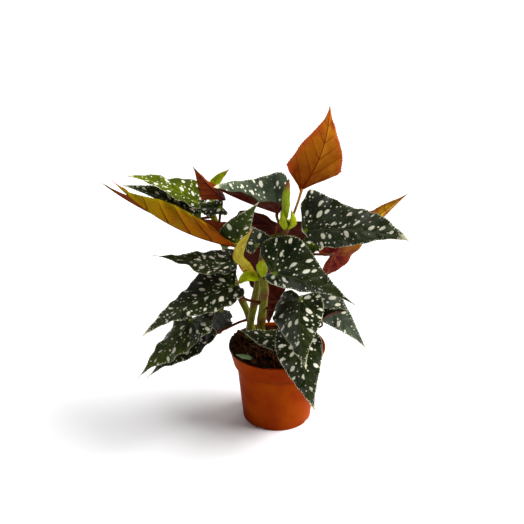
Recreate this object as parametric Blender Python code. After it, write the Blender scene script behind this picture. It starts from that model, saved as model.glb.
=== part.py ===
"""Potted polka dot begonia: a leafy cane begonia in a 12 cm nursery pot.

Sizes and places are in millimetres and turned into metres by MM. +Z is up, the origin is the
centre of the pot's underside, and -Y is the plant's front.
"""

import math
from dataclasses import dataclass

import bmesh
import bpy
from mathutils import Matrix, Quaternion, Vector, noise

MM = 0.001

# Pot
POT_HEIGHT = 99.0
POT_RIM_RADIUS = 60.0
POT_FOOT_RADIUS = 43.0
POT_WALL = 1.6
BODY_TOP_RADIUS = 50.4
BAND_HEIGHT = 24.0
BAND_STEP = 3.6
BAND_EDGE = 0.5
LIP_HEIGHT = 3.0
LIP_ROUND = 0.8
FLOOR_LIFT = 3.0
FLOOR_THICKNESS = 1.6
FOOT_WIDTH = 5.0
DRAFT = 1.0
CENTRE_PAD_RADIUS = 12.0
POT_SEGMENTS = 48
DRAIN_HOLES = 6
DRAIN_HOLE_RADIUS = 4.0
DRAIN_HOLE_RING = 25.0
FOOT_NOTCHES = 4
FOOT_NOTCH_WIDTH = 10.0
FOOT_NOTCH_HEIGHT = 2.0
FOOT_NOTCH_TURN = -29.0

# Soil
SOIL_GAP = 0.5
SOIL_LEVEL = 93.5
SOIL_HEAP = 12.0
SOIL_HEAP_MIDDLE = 0.25
SOIL_LEAN = (-0.62, -0.20)
SOIL_ABOVE_RIM = 4.5
SOIL_ROUGHNESS = 1.3
SOIL_LUMPS = 0.12
SOIL_EDGE_DEPTH = 4.0
SOIL_RINGS = 7
SOIL_SEGMENTS = 32

# Leaf blades
SEAT_GAP = 0.3
RIB_THICKNESS = 1.0
RIB_SHARES = (0.5, 1.0)
BLADE_THICKNESS = 0.6
STALK_SIDES = 6
CANE_SIDES = 10

# One leaf outline in shares of its length (along the midrib) and of each half's width.
# The stations are the midrib points that the outer points are joined to.
STATIONS = (0.0, 0.14, 0.32, 0.54, 0.76, 0.91)
NOTCH = -0.035
LOBE_VEIN = math.radians(45)
WAVE_RATE = 9.0
WAVE_PHASES = (0.8, 2.2)
BIG_LOBE = ((-0.15, 0.20), (-0.26, 0.50), (-0.24, 0.80), (-0.11, 0.99))
BIG_FLANK = ((0.10, 1.0), (0.33, 0.78), (0.58, 0.44), (0.80, 0.16), (0.93, 0.045))
BROAD_FLANK = ((0.10, 0.86), (0.33, 0.62), (0.58, 0.50), (0.80, 0.27), (0.93, 0.10))
SMALL_LOBE = ((-0.09, 0.30), (-0.10, 0.62), (-0.03, 0.88))
SMALL_FLANK = ((0.12, 1.0), (0.33, 0.88), (0.56, 0.56), (0.79, 0.20), (0.925, 0.055))


@dataclass
class Blade:
    """One leaf blade, placed by its stalk joint and its tip.

    faces is where the upper face looks. lobe is +1 when the big lobe lies left of the midrib,
    seen from above with the tip ahead. big and small are the halves' widths as shares of the
    length. reach scales how far the lobes run back behind the stalk joint, forward carries the big
    and the small half's corner towards the tip, taper is full below 1 and hollow above it, broad
    keeps the big half wide near the tip, and sweep bows the midrib towards the big half. wave is
    the height of the margin's ripple in millimetres. Angles are in degrees: the halves are lifted
    by fold at the midrib, lobe_lift lifts the lobes about their main veins, and droop bends the
    midrib down.
    """

    name: str
    base: tuple
    tip: tuple
    faces: tuple
    lobe: int = 1
    big: float = 0.48
    small: float = 0.27
    fold_big: float = 8.0
    fold_small: float = 8.0
    lobe_lift: float = 12.0
    reach: float = 1.0
    forward: tuple = (0.0, 0.0)
    taper: float = 1.0
    broad: bool = False
    sweep: float = 0.03
    droop: float = 16.0
    wave: float = 1.2
    colour: str = "mature"


BLADES = (
    Blade("blade_top_young", (27, 5, 302), (58, 20, 400), (0.1, 1.0, 0.0), lobe=1, big=0.27, small=0.28,
          lobe_lift=20, reach=0, forward=(0.30, 0.18), taper=1.35, sweep=0.08, droop=-8,
          colour="orange"),
    Blade("blade_right_large", (32, -5, 254), (143, -70, 270), (-0.3, -0.4, 0.9), lobe=1, big=0.41,
          small=0.17, fold_small=-20, reach=0.4, forward=(0, 0.2), broad=True, droop=20),
    Blade("blade_centre", (-4, -40, 215), (91, -80, 192), (-0.05, -0.6, 0.8), lobe=1, big=0.45,
          small=0.14, fold_big=2, fold_small=-50, taper=1.5, droop=20),
    Blade("blade_hanging", (25, -50, 187), (31, -105, 126), (-0.3, -0.7, 0.6), lobe=-1, big=0.52,
          small=0.34, fold_big=-30, fold_small=-24, lobe_lift=0, droop=24),
    Blade("blade_over_rim", (27, -51, 135), (44, -90, 59), (-0.15, -0.9, 0.4), lobe=-1, big=0.37,
          small=0.30, fold_big=-4, fold_small=-14, lobe_lift=0, droop=30),
    Blade("blade_on_soil", (9, -38, 129), (-48, -10, 126), (0.0, -0.5, 0.9), lobe=1, big=0.28,
          small=0.26, fold_big=-9, fold_small=-15, lobe_lift=0, sweep=0.06, droop=13),
    Blade("blade_left_mid", (-50, 0, 212), (-148, -20, 231), (0.1, 0.1, 1.0), lobe=1, big=0.40,
          small=0.26, fold_big=-4, fold_small=14, reach=0.1, forward=(0.1, 0), droop=-10),
    Blade("blade_left_large", (-54, -25, 192), (-158, -75, 152), (-0.25, -0.2, 0.95), lobe=-1,
          big=0.35, small=0.27, fold_big=4, fold_small=-4, reach=0.5),
    Blade("blade_lower_left", (-103, -37, 153), (-165, -80, 99), (-0.4, -0.2, 0.9), lobe=1, big=0.46,
          small=0.26, fold_big=-4, fold_small=-4, droop=10),
    Blade("blade_lower_left_under", (-92, -28, 137), (-156, -68, 92), (-0.4, -0.2, 0.9), lobe=1,
          big=0.42, small=0.26, fold_big=-4, fold_small=-4, reach=0.4, droop=10),
    Blade("blade_withered", (-69, 8, 143), (-89, 12, 92), (-0.3, -0.9, 0.3), lobe=-1, big=0.45,
          small=0.35, fold_big=12, fold_small=-16, droop=20, wave=4),
    Blade("blade_orange_left", (-49, -30, 245), (-181, -60, 337), (-0.3, 0.5, 0.8), lobe=-1, big=0.17,
          small=0.13, fold_big=62, fold_small=62, reach=0.1, forward=(0.4, 0.3), droop=-34,
          colour="orange"),
    Blade("blade_red_left", (-74, -2, 249), (-203, -38, 332), (-0.4, 0.3, 0.8), lobe=-1, big=0.14,
          small=0.12, fold_big=40, fold_small=30, droop=-24, colour="red"),
    Blade("blade_dark_upper_left", (-95, 24, 261), (-183, 16, 304), (0.0, -0.4, 0.9), lobe=-1,
          big=0.26, small=0.22, fold_big=14, fold_small=10, reach=0.1, droop=16),
    Blade("blade_young_green", (-97, 12, 284), (-175, 4, 320), (0.3, -0.1, 0.9), lobe=-1, big=0.42,
          small=0.28, fold_big=4, fold_small=4, reach=0.5, sweep=0.05, droop=16, colour="young"),
    Blade("blade_red_folded", (-62, -8, 294), (-97, -22, 341), (-0.2, 1.0, 0.2), lobe=-1, big=0.36,
          small=0.22, fold_big=6, fold_small=100, lobe_lift=60, droop=-8, colour="red"),
    Blade("blade_top_centre", (-1, 5, 273), (-74, -10, 311), (0.1, -0.1, 1.0), lobe=-1, big=0.52,
          small=0.24, fold_big=34, fold_small=50, lobe_lift=20, reach=0.4, taper=0.6, droop=-16),
    Blade("blade_maroon_back", (-2, 28, 246), (-10, 66, 92), (0.1, 1.0, 0.15), lobe=1, big=0.31,
          small=0.28, reach=0.3, taper=0.8, droop=10, colour="red"),
    Blade("blade_dark_back_left", (-67, 14, 276), (-110, 2, 281), (0.0, -0.3, 0.9), lobe=1, big=0.34,
          small=0.22, fold_big=-10, fold_small=24, reach=0.5, droop=10),
    Blade("blade_small_green", (-47, -26, 250), (-22, -36, 303), (-0.3, -1.0, 0.1), lobe=1, big=0.38,
          small=0.20, fold_big=4, fold_small=-50, droop=10, colour="young"),
    Blade("blade_orange_right", (68, 20, 215), (162, 45, 286), (0.0, 1.0, -0.2), lobe=1, big=0.26,
          small=0.28, fold_big=30, fold_small=40, lobe_lift=0, sweep=-0.02, droop=-10,
          colour="red"),
    Blade("blade_small_olive", (42, 2, 236), (16, -14, 228), (-0.1, -0.7, 0.7), lobe=1, big=0.44,
          small=0.34, droop=10, colour="young"),
    Blade("blade_grey_right", (44, 0, 169), (109, -20, 104), (-0.1, -0.7, 0.7), lobe=1, big=0.24,
          small=0.22, fold_small=-10, reach=0.8),
    Blade("blade_curled_right", (51, -26, 147), (85, -34, 165), (0.0, -0.2, 1.0), lobe=1, big=0.30,
          small=0.26, fold_big=40, fold_small=40, droop=20),
    Blade("blade_dark_behind", (-25, -3, 235), (-40, -5, 266), (0.1, -0.9, 0.4), lobe=-1, big=0.5,
          small=0.4, droop=20),
)


@dataclass
class Stipule:
    """A papery sheath: a cupped, pointed scale along a route, turned about it by twist degrees.

    One that still grows starts on its cane, at a share of the cane's route.
    """

    name: str
    route: tuple
    faces: tuple
    width: float
    cane: str = ""
    share: float = 1.0
    cup: float = 45.0
    twist: float = 0.0
    colour: str = "stipule"


STIPULES = (
    Stipule("stipule_top_tall", ((9, -11, 298), (12, -8, 321)), (-0.2, 1.0, 0.2), 5.5, "cane_right", 0.99),
    Stipule("stipule_top_left", ((4, -13, 266), (4, -10, 283)), (0.6, 0.8, 0.1), 6.5, "cane_right", 0.9),
    Stipule("stipule_top_right", ((19, -13, 266), (15, -8, 282)), (-0.6, 0.8, 0.1), 6.0,
            "cane_right", 0.92),
    Stipule("stipule_front", ((-20, -30, 217), (-17.5, -33, 231)), (0.3, 1.0, 0.0), 7.6, "cane_front", 0.97),
    Stipule("stipule_front_left", ((-36, -32, 207), (-47, -37, 201)), (-0.1, -0.7, 0.7), 7.5,
            "cane_front", 0.95),
    Stipule("stipule_twisted", ((-36, -36, 224), (-46, -40, 238), (-41, -42, 256), (-28, -44, 275)),
            (-0.6, -0.8, 0.2), 7.0, "cane_front", 0.99, cup=30, twist=70, colour="dried"),
    Stipule("stipule_upper_left", ((-76, 24, 300), (-57, 26, 320)), (0.3, 0.9, 0.4), 7.0,
            "cane_left", 0.97),
    Stipule("stipule_fallen", ((-29, -43, 102.6), (-40, -42, 105.5), (-51, -37, 106.4)), (0.1, -0.2, 1.0), 4.5,
            cup=30),
)
STIPULE_COLUMNS = (-1.0, -0.55, 0.0, 0.55, 1.0)
STIPULE_ROWS = ((0.10, 0.55), (0.28, 0.92), (0.5, 1.0), (0.72, 0.72), (0.9, 0.3))
STIPULE_THICKNESS = 0.5
STIPULE_STEPS = 40


@dataclass
class Cane:
    """A jointed stem: its route, its radius at the soil and at the top, and where its joints swell.

    The route's first point has no height of its own, as the foot stands on the soil.
    """

    name: str
    route: tuple
    radii: tuple
    joints: tuple


CANES = (
    Cane("cane_front", ((-20, 10), (-20, 0, 130), (-16, -10, 176), (-20, -15, 204)), (5.6, 4.4),
         (0.35, 0.72)),
    Cane("cane_left", ((-30, 26), (-37, 28, 128), (-50, 30, 163), (-60, 33, 201), (-75, 36, 248),
                       (-83, 36, 268)), (4.6, 3.0), (0.3, 0.6, 0.85)),
    Cane("cane_right", ((-36, 10), (-33, 12, 125), (-27, 10, 160), (-20, 8, 205), (-12, 2, 238),
                        (6, -2, 249), (13, -3, 266)), (4.8, 3.2), (0.3, 0.6, 0.92)),
)
CANE_RINGS = 14
FOOT_UPRIGHT = 2.0
JOINT_SWELL = 0.22
JOINT_REACH = 0.035


@dataclass
class Stalk:
    """A leaf stalk from a cane, at a share of its route, to the underside of a blade.

    lead is how much of its span it spends square on to the blade.
    """

    cane: str
    share: float
    blade: str
    radius: float = 1.6
    lead: float = 0.3
    colour: str = "stalk"


STALKS = (
    Stalk("cane_right", 0.97, "blade_top_young", radius=1.5, colour="orange"),
    Stalk("cane_right", 0.84, "blade_right_large", radius=1.7),
    Stalk("cane_front", 0.94, "blade_centre"),
    Stalk("cane_front", 0.52, "blade_hanging", lead=0.2),
    Stalk("cane_front", 0.10, "blade_over_rim"),
    Stalk("cane_front", 0.16, "blade_on_soil"),
    Stalk("cane_left", 0.55, "blade_left_mid"),
    Stalk("cane_front", 0.56, "blade_left_large"),
    Stalk("cane_left", 0.42, "blade_lower_left", lead=0.1),
    Stalk("cane_left", 0.16, "blade_lower_left_under"),
    Stalk("cane_left", 0.37, "blade_withered"),
    Stalk("cane_front", 0.98, "blade_orange_left", colour="orange"),
    Stalk("cane_left", 0.7, "blade_red_left"),
    Stalk("cane_left", 0.88, "blade_dark_upper_left"),
    Stalk("cane_left", 0.97, "blade_young_green", radius=1.3, colour="orange"),
    Stalk("cane_right", 0.9, "blade_top_centre"),
    Stalk("cane_right", 0.5, "blade_maroon_back"),
    Stalk("cane_left", 0.8, "blade_dark_back_left"),
    Stalk("cane_right", 0.55, "blade_orange_right"),
    Stalk("cane_right", 0.6, "blade_small_olive", radius=1.2),
    Stalk("cane_right", 0.3, "blade_grey_right"),
    Stalk("cane_front", 0.3, "blade_curled_right", radius=1.2),
)
STALK_POINTS = 9
STALK_GAP = 0.5
STALK_COLLAR = 0.8

COLOURS = {
    "pot": ((0.42, 0.10, 0.02), 0.45),
    "soil": ((0.012, 0.007, 0.004), 0.95),
    "cane": ((0.20, 0.20, 0.03), 0.5),
    "stalk": ((0.22, 0.06, 0.03), 0.5),
    "mature": ((0.010, 0.018, 0.009), 0.35),
    "young": ((0.12, 0.17, 0.02), 0.4),
    "orange": ((0.38, 0.12, 0.02), 0.45),
    "red": ((0.16, 0.02, 0.012), 0.45),
    "stipule": ((0.32, 0.40, 0.01), 0.5),
    "dried": ((0.65, 0.60, 0.09), 0.6),
}


def clear_scene():
    """Remove every object of the start-up scene."""
    for item in list(bpy.data.objects):
        bpy.data.objects.remove(item)


def material(key):
    """Return the Principled material of a colour key, made on first use."""
    found = bpy.data.materials.get(key)
    if found:
        return found
    made = bpy.data.materials.new(key)
    made.use_nodes = True
    shader = made.node_tree.nodes["Principled BSDF"]
    colour, roughness = COLOURS[key]
    shader.inputs["Base Color"].default_value = (*colour, 1.0)
    shader.inputs["Roughness"].default_value = roughness
    return made


def add_object(name, data, key):
    """Put mesh or curve data into the scene as a named, shaded object with its own material."""
    item = bpy.data.objects.new(name, data)
    made = material(key).copy()
    made.name = name
    data.materials.append(made)
    bpy.context.scene.collection.objects.link(item)
    return item


def mesh_object(name, bm, key):
    """Turn a closed bmesh into a smooth-shaded object."""
    bmesh.ops.recalc_face_normals(bm, faces=bm.faces)
    mesh = bpy.data.meshes.new(name)
    bm.to_mesh(mesh)
    bm.free()
    mesh.shade_smooth()
    mesh.set_sharp_from_angle(angle=math.radians(40))
    return add_object(name, mesh, key)


# ---------------------------------------------------------------- pot and soil

BAND_BASE = POT_HEIGHT - BAND_HEIGHT


def wall_radius(height):
    """Outer radius of the pot's tapered body at a height, without the band."""
    return POT_FOOT_RADIUS + (BODY_TOP_RADIUS - POT_FOOT_RADIUS) * height / BAND_BASE


def pot_outline():
    """Section of the pot as (radius, height), from the middle of the underside round to the inside."""
    foot_inner = POT_FOOT_RADIUS - FOOT_WIDTH
    band_foot = BODY_TOP_RADIUS + BAND_STEP
    floor_top = FLOOR_LIFT + FLOOR_THICKNESS
    return (
        (0.0, 0.0), (CENTRE_PAD_RADIUS, 0.0), (CENTRE_PAD_RADIUS + DRAFT, FLOOR_LIFT),
        (foot_inner - DRAFT, FLOOR_LIFT), (foot_inner, 0.0), (POT_FOOT_RADIUS - LIP_ROUND, 0.0),
        (POT_FOOT_RADIUS, LIP_ROUND), (BODY_TOP_RADIUS, BAND_BASE), (band_foot, BAND_BASE + BAND_EDGE),
        (band_foot + BAND_EDGE, BAND_BASE + POT_WALL), (POT_RIM_RADIUS - LIP_ROUND, POT_HEIGHT - LIP_HEIGHT),
        (POT_RIM_RADIUS, POT_HEIGHT - LIP_ROUND), (POT_RIM_RADIUS - LIP_ROUND, POT_HEIGHT),
        (POT_RIM_RADIUS - POT_WALL, POT_HEIGHT - LIP_ROUND / 2),
        (band_foot + BAND_EDGE - POT_WALL, BAND_BASE + POT_WALL),
        (BODY_TOP_RADIUS - POT_WALL, BAND_BASE - POT_WALL / 2),
        (wall_radius(floor_top) - POT_WALL, floor_top), (0.0, floor_top),
    )


def pot_cutters():
    """Drain holes in the floor and drain notches in the foot ring, as one hidden cutter."""
    bm = bmesh.new()
    for index in range(DRAIN_HOLES):
        turn = Matrix.Rotation(2 * math.pi * index / DRAIN_HOLES, 4, "Z")
        place = turn @ Matrix.Translation((DRAIN_HOLE_RING * MM, 0, FLOOR_LIFT * MM))
        bmesh.ops.create_cone(bm, cap_ends=True, segments=16, radius1=DRAIN_HOLE_RADIUS * MM,
                              radius2=DRAIN_HOLE_RADIUS * MM, depth=8 * MM, matrix=place)
    for index in range(FOOT_NOTCHES):
        angle = 2 * math.pi * index / FOOT_NOTCHES - math.pi / 2 + math.radians(FOOT_NOTCH_TURN)
        size = Matrix.Diagonal((4 * FOOT_WIDTH * MM, FOOT_NOTCH_WIDTH * MM, 2 * FOOT_NOTCH_HEIGHT * MM, 1))
        place = Matrix.Rotation(angle, 4, "Z") @ Matrix.Translation(((POT_FOOT_RADIUS + 2) * MM, 0, 0))
        bmesh.ops.create_cube(bm, size=1.0, matrix=place @ size)
    mesh = bpy.data.meshes.new("pot_cutters")
    bm.to_mesh(mesh)
    bm.free()
    cutter = bpy.data.objects.new("pot_cutters", mesh)
    cutter.hide_render = True
    cutter.display_type = "WIRE"
    bpy.context.scene.collection.objects.link(cutter)
    return cutter


def turned(outline):
    """Turn a closed (radius, height) outline about Z into a closed bmesh."""
    bm = bmesh.new()
    verts = [bm.verts.new((radius * MM, 0, height * MM)) for radius, height in outline]
    edges = [bm.edges.new(pair) for pair in zip(verts, verts[1:])]
    bmesh.ops.spin(bm, geom=verts + edges, axis=(0, 0, 1), cent=(0, 0, 0), steps=POT_SEGMENTS,
                   angle=2 * math.pi, use_merge=True)
    bmesh.ops.remove_doubles(bm, verts=bm.verts, dist=1e-6)
    return bm


def make_pot():
    """The nursery pot: tapered body, stepped band, rounded lip, lifted floor with holes, notched foot."""
    pot = mesh_object("pot", turned(pot_outline()), "pot")
    cut = pot.modifiers.new("drainage", "BOOLEAN")
    cut.operation = "DIFFERENCE"
    cut.solver = "EXACT"
    cut.object = pot_cutters()
    return pot


def inner_radius(height):
    """Radius of the pot's inside at a height, following its step at the band."""
    step_low = BAND_BASE - POT_WALL / 2
    step_high = BAND_BASE + POT_WALL
    if height < step_low:
        return wall_radius(height) - POT_WALL
    band_inner = BODY_TOP_RADIUS + BAND_STEP + BAND_EDGE - POT_WALL
    if height < step_high:
        share = (height - step_low) / (step_high - step_low)
        return BODY_TOP_RADIUS - POT_WALL + share * (band_inner - BODY_TOP_RADIUS + POT_WALL)
    share = (height - step_high) / (POT_HEIGHT - step_high)
    return band_inner + share * (POT_RIM_RADIUS - POT_WALL - band_inner)


def soil_height(x, y):
    """Height of the soil's surface: heaped towards the front left, rough all over."""
    lean = (SOIL_LEAN[0] * x + SOIL_LEAN[1] * y) / POT_RIM_RADIUS
    heap = SOIL_HEAP * max(0.0, SOIL_HEAP_MIDDLE + lean)
    rough = SOIL_ROUGHNESS * noise.noise(Vector((x, y, 7.0)) * SOIL_LUMPS)
    return min(SOIL_LEVEL + heap + rough, POT_HEIGHT + SOIL_ABOVE_RIM)


def make_soil():
    """The peat root ball: the inside of the pot below, a heaped rough surface on top."""
    bm = bmesh.new()
    floor_top = FLOOR_LIFT + FLOOR_THICKNESS + SOIL_GAP
    side_heights = (floor_top, BAND_BASE - POT_WALL / 2, BAND_BASE + POT_WALL)
    rings = []
    for height in side_heights:
        rings.append([(inner_radius(height) - SOIL_GAP, height)] * SOIL_SEGMENTS)
    for ring in range(SOIL_RINGS, 0, -1):
        share = ring / SOIL_RINGS
        row = []
        for index in range(SOIL_SEGMENTS):
            angle = 2 * math.pi * index / SOIL_SEGMENTS
            reach = (inner_radius(SOIL_LEVEL - SOIL_EDGE_DEPTH) - SOIL_GAP) * share
            row.append((reach, soil_height(reach * math.cos(angle), reach * math.sin(angle))))
        rings.append(row)
    loops = []
    for row in rings:
        loop = []
        for index, (radius, height) in enumerate(row):
            angle = 2 * math.pi * index / SOIL_SEGMENTS
            loop.append(bm.verts.new((radius * math.cos(angle) * MM, radius * math.sin(angle) * MM,
                                      height * MM)))
        loops.append(loop)
    for lower, upper in zip(loops, loops[1:]):
        for index in range(SOIL_SEGMENTS):
            after = (index + 1) % SOIL_SEGMENTS
            bm.faces.new((lower[index], lower[after], upper[after], upper[index]))
    bm.faces.new(loops[0])
    middle = bm.verts.new((0, 0, soil_height(0, 0) * MM))
    for index in range(SOIL_SEGMENTS):
        bm.faces.new((loops[-1][index], loops[-1][(index + 1) % SOIL_SEGMENTS], middle))
    return mesh_object("soil", bm, "soil")


# ---------------------------------------------------------------- thin leaves

def thin_body(points, faces):
    """Close a sheet into a thin body.

    points are (position, normal, thickness) in millimetres. Those with no thickness are the
    margin, which both skins share, so the body thins out to its edge. Each face is split the same
    way on both skins, so that a bent face's skins stay apart.
    """
    bm = bmesh.new()
    upper = [bm.verts.new(place * MM) for place, _, _ in points]
    lower = []
    for vert, (place, normal, thickness) in zip(upper, points):
        lower.append(bm.verts.new((place - normal * thickness) * MM) if thickness else vert)
    for first, *others in faces:
        for second, third in zip(others, others[1:]):
            bm.faces.new([upper[index] for index in (first, second, third)])
            bm.faces.new([lower[index] for index in (third, second, first)])
    return bm


def chord_frame(base, tip, faces, local_tip):
    """Return the length scale and the placing matrix that take a local tip to the real one."""
    chord = Vector(tip) - Vector(base)
    along = chord.normalized()
    up = Vector(faces)
    up = (up - along * up.dot(along)).normalized()
    angle = math.atan2(local_tip.z, local_tip.x)
    ahead = along * math.cos(angle) - up * math.sin(angle)
    normal = along * math.sin(angle) + up * math.cos(angle)
    side = normal.cross(ahead)
    turn = Matrix((ahead, side, normal)).transposed().to_4x4()
    place = Matrix.Translation(Vector(base) * MM) @ turn
    return chord.length / math.hypot(local_tip.x, local_tip.z), place


class BladeForm:
    """The bent surface of one blade, in its own frame: X along the midrib, Y left, Z up."""

    def __init__(self, blade):
        """Measure the blade's length from the distance between its base and tip."""
        self.blade = blade
        self.bend = math.radians(blade.droop) or 1e-4
        self.length = 1.0
        tip = self.surface(1.0, 0.0, 0.0)
        self.length, self.place = chord_frame(blade.base, blade.tip, blade.faces, tip)

    def surface(self, along, across, share):
        """Point at a share along the midrib and a signed share of length across it."""
        blade = self.blade
        big = across * blade.lobe > 0
        width = abs(across)
        behind = max(width * math.cos(LOBE_VEIN) - along * math.sin(LOBE_VEIN), 0.0)
        lobe_lift = math.radians(blade.lobe_lift)
        along += behind * (1 - math.cos(lobe_lift)) * math.sin(LOBE_VEIN)
        width -= behind * (1 - math.cos(lobe_lift)) * math.cos(LOBE_VEIN)
        lift = math.radians(blade.fold_big if big else blade.fold_small)
        phase = WAVE_PHASES[0] if big else WAVE_PHASES[1]
        ripple = blade.wave * math.sin(WAVE_RATE * along + phase) * share ** 2
        raised = width * math.sin(lift) + behind * math.sin(lobe_lift) + ripple / max(self.length, 1.0)
        bow = 4 * blade.sweep * blade.lobe * along * (1 - max(along, 0.0))
        turn = self.bend * max(along, 0.0)
        rib = Vector((math.sin(turn) / self.bend + min(along, 0.0), 0, (math.cos(turn) - 1) / self.bend))
        normal = Vector((math.sin(turn), 0, math.cos(turn)))
        side = Vector((0, bow + math.copysign(width * math.cos(lift), across), 0))
        return (rib + side + normal * raised) * self.length

    def normal(self, along, across, share):
        """Upper-face normal of the surface, from small steps along and across it."""
        step = 0.01
        ahead = self.surface(along + step, across, share) - self.surface(along - step, across, share)
        if abs(across) < step:
            wide = self.surface(along, step, 0.0) - self.surface(along, -step, 0.0)
        else:
            out = math.copysign(step, across)
            wide = self.surface(along, across + out, share) - self.surface(along, across - out, share)
            wide *= math.copysign(1.0, across)
        return ahead.cross(wide).normalized()

    def point(self, station, outer, share):
        """Point between a midrib station and an outline point, with its normal and thickness."""
        along = station + (outer[0] - station) * share
        across = outer[1] * share
        thickness = RIB_THICKNESS if share == 0 else BLADE_THICKNESS if share < 1 else 0.0
        return (self.surface(along, across, share), self.normal(along, across, share), thickness)

    def halves(self):
        """Outline points of both halves from notch to tip, each with its midrib station."""
        blade = self.blade
        big_flank = BROAD_FLANK if blade.broad else BIG_FLANK
        big = (BIG_LOBE, big_flank, blade.big * blade.lobe, blade.forward[0])
        small = (SMALL_LOBE, SMALL_FLANK, -blade.small * blade.lobe, blade.forward[1])
        result = []
        for lobe, flank, width, forward in (big, small):
            columns = []
            for along, across in lobe:
                columns.append((0.0, (along * blade.reach + forward * across, across * width)))
            for station, (along, across) in zip(STATIONS[1:], flank):
                columns.append((station, (along + forward * across, across ** blade.taper * width)))
            result.append((math.copysign(1, width), columns))
        return result


def make_blade(blade):
    """One blade: both halves fan from the stalk joint and then run beside the midrib to the tip."""
    form = BladeForm(blade)
    points = [form.point(station, (station, 0.0), 0.0) for station in STATIONS]
    notch = [len(points) + index for index in range(len(RIB_SHARES))]
    points += [form.point(0.0, (NOTCH, 0.0), share) for share in RIB_SHARES]
    tip = len(points)
    points.append((form.surface(1.0, 0.0, 0.0), Vector((0, 0, 1)), 0.0))
    faces = []
    for side, columns in form.halves():
        before = [0] + notch
        for station, outer in columns:
            column = [STATIONS.index(station)]
            for share in RIB_SHARES:
                column.append(len(points))
                points.append(form.point(station, outer, share))
            for level in range(len(RIB_SHARES)):
                ring = [before[level], column[level], column[level + 1], before[level + 1]]
                ring = [index for place, index in enumerate(ring) if index not in ring[:place]]
                faces.append(ring if side > 0 else ring[::-1])
            before = column
        for level in range(len(RIB_SHARES)):
            ring = [before[level], tip, before[level + 1]]
            faces.append(ring if side > 0 else ring[::-1])
    item = mesh_object(blade.name, thin_body(points, faces), blade.colour)
    item.matrix_world = form.place
    return item


def make_stipule(stipule, canes):
    """A cupped scale with pointed ends that follows its route."""
    steps = STIPULE_STEPS
    route = stipule.route
    if stipule.cane:
        start, _, _ = cane_side(canes[stipule.cane], stipule.share, Vector(route[0]))
        route = (start, *route)
    route = smooth_route(route, steps + 1)
    start, end = route[0], route[-1]
    points = [(start, Vector((0, 0, 1)), 0.0)]
    for along, width in STIPULE_ROWS:
        index = round(along * steps)
        ahead = (route[index + 1] - route[index - 1]).normalized()
        up = Vector(stipule.faces)
        up = (up - ahead * up.dot(ahead)).normalized()
        up.rotate(Quaternion(ahead, math.radians(stipule.twist * along)))
        side = up.cross(ahead)
        for share in STIPULE_COLUMNS:
            lift = math.radians(stipule.cup) * abs(share)
            reach = share * width * stipule.width
            place = route[index] + side * reach * math.cos(lift / 2) + up * abs(reach) * math.sin(lift / 2)
            normal = up * math.cos(lift) - side * math.copysign(math.sin(lift), share)
            points.append((place, normal, 0.0 if abs(share) == 1 else STIPULE_THICKNESS))
    points.append((end, Vector((0, 0, 1)), 0.0))
    faces = []
    wide = len(STIPULE_COLUMNS)
    last = 1 + (len(STIPULE_ROWS) - 1) * wide
    for column in range(wide - 1):
        faces.append((0, 1 + column, 2 + column))
        for first in range(1 + column, last, wide):
            faces.append((first, first + wide, first + wide + 1, first + 1))
        faces.append((last + column, len(points) - 1, last + column + 1))
    return mesh_object(stipule.name, thin_body(points, faces), stipule.colour)


# ---------------------------------------------------------------- canes and stalks

def smooth_route(route, count):
    """Read count points off a smooth curve through the route's own points."""
    points = [Vector(point) for point in route]
    points = [2 * points[0] - points[1]] + points + [2 * points[-1] - points[-2]]
    spans = len(points) - 3
    result = []
    for index in range(count):
        place = index / (count - 1) * spans
        span = min(int(place), spans - 1)
        share = place - span
        a, b, c, d = points[span:span + 4]
        result.append(0.5 * (2 * b + (c - a) * share + (2 * a - 5 * b + 4 * c - d) * share ** 2
                             + (3 * b - a - 3 * c + d) * share ** 3))
    return result


def tube(name, points, radii, sides, key):
    """A closed round tube through the points, with its own radius at each."""
    curve = bpy.data.curves.new(name, "CURVE")
    curve.dimensions = "3D"
    curve.bevel_depth = MM
    curve.bevel_resolution = (sides - 4) // 2
    curve.use_fill_caps = True
    spline = curve.splines.new("POLY")
    spline.points.add(len(points) - 1)
    for target, point, radius in zip(spline.points, points, radii):
        target.co = (*(point * MM), 1.0)
        target.radius = radius
    spline.use_smooth = True
    return add_object(name, curve, key)


def cane_radius(cane, share):
    """Radius of a cane at a share of its route: a taper, swollen at each joint."""
    swell = sum(math.exp(-((share - joint) / JOINT_REACH) ** 2) for joint in cane.joints)
    return (cane.radii[0] + (cane.radii[1] - cane.radii[0]) * share) * (1 + JOINT_SWELL * swell)


def foot_height(cane, soil):
    """Height at which the cane's round foot just clears the soil under it."""
    reach = cane.radii[0] + SEAT_GAP
    highest = 0.0
    for index in range(CANE_SIDES):
        angle = 2 * math.pi * index / CANE_SIDES
        x = cane.route[0][0] + reach * math.cos(angle)
        y = cane.route[0][1] + reach * math.sin(angle)
        _, hit, _, _ = soil.ray_cast(Vector((x, y, 2 * POT_HEIGHT)) * MM, Vector((0, 0, -1)))
        highest = max(highest, hit.z / MM)
    return highest + SEAT_GAP


def make_cane(cane, soil):
    """One jointed cane; its route is completed with the height of its foot."""
    cane.route = ((*cane.route[0], foot_height(cane, soil)), *cane.route[1:])
    points = smooth_route(cane.route, CANE_RINGS)
    radii = [cane_radius(cane, index / (CANE_RINGS - 1)) for index in range(CANE_RINGS)]
    points.insert(1, points[0] + Vector((0, 0, FOOT_UPRIGHT)))
    radii.insert(1, radii[0])
    return tube(cane.name, points, radii, CANE_SIDES, "cane")


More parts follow.
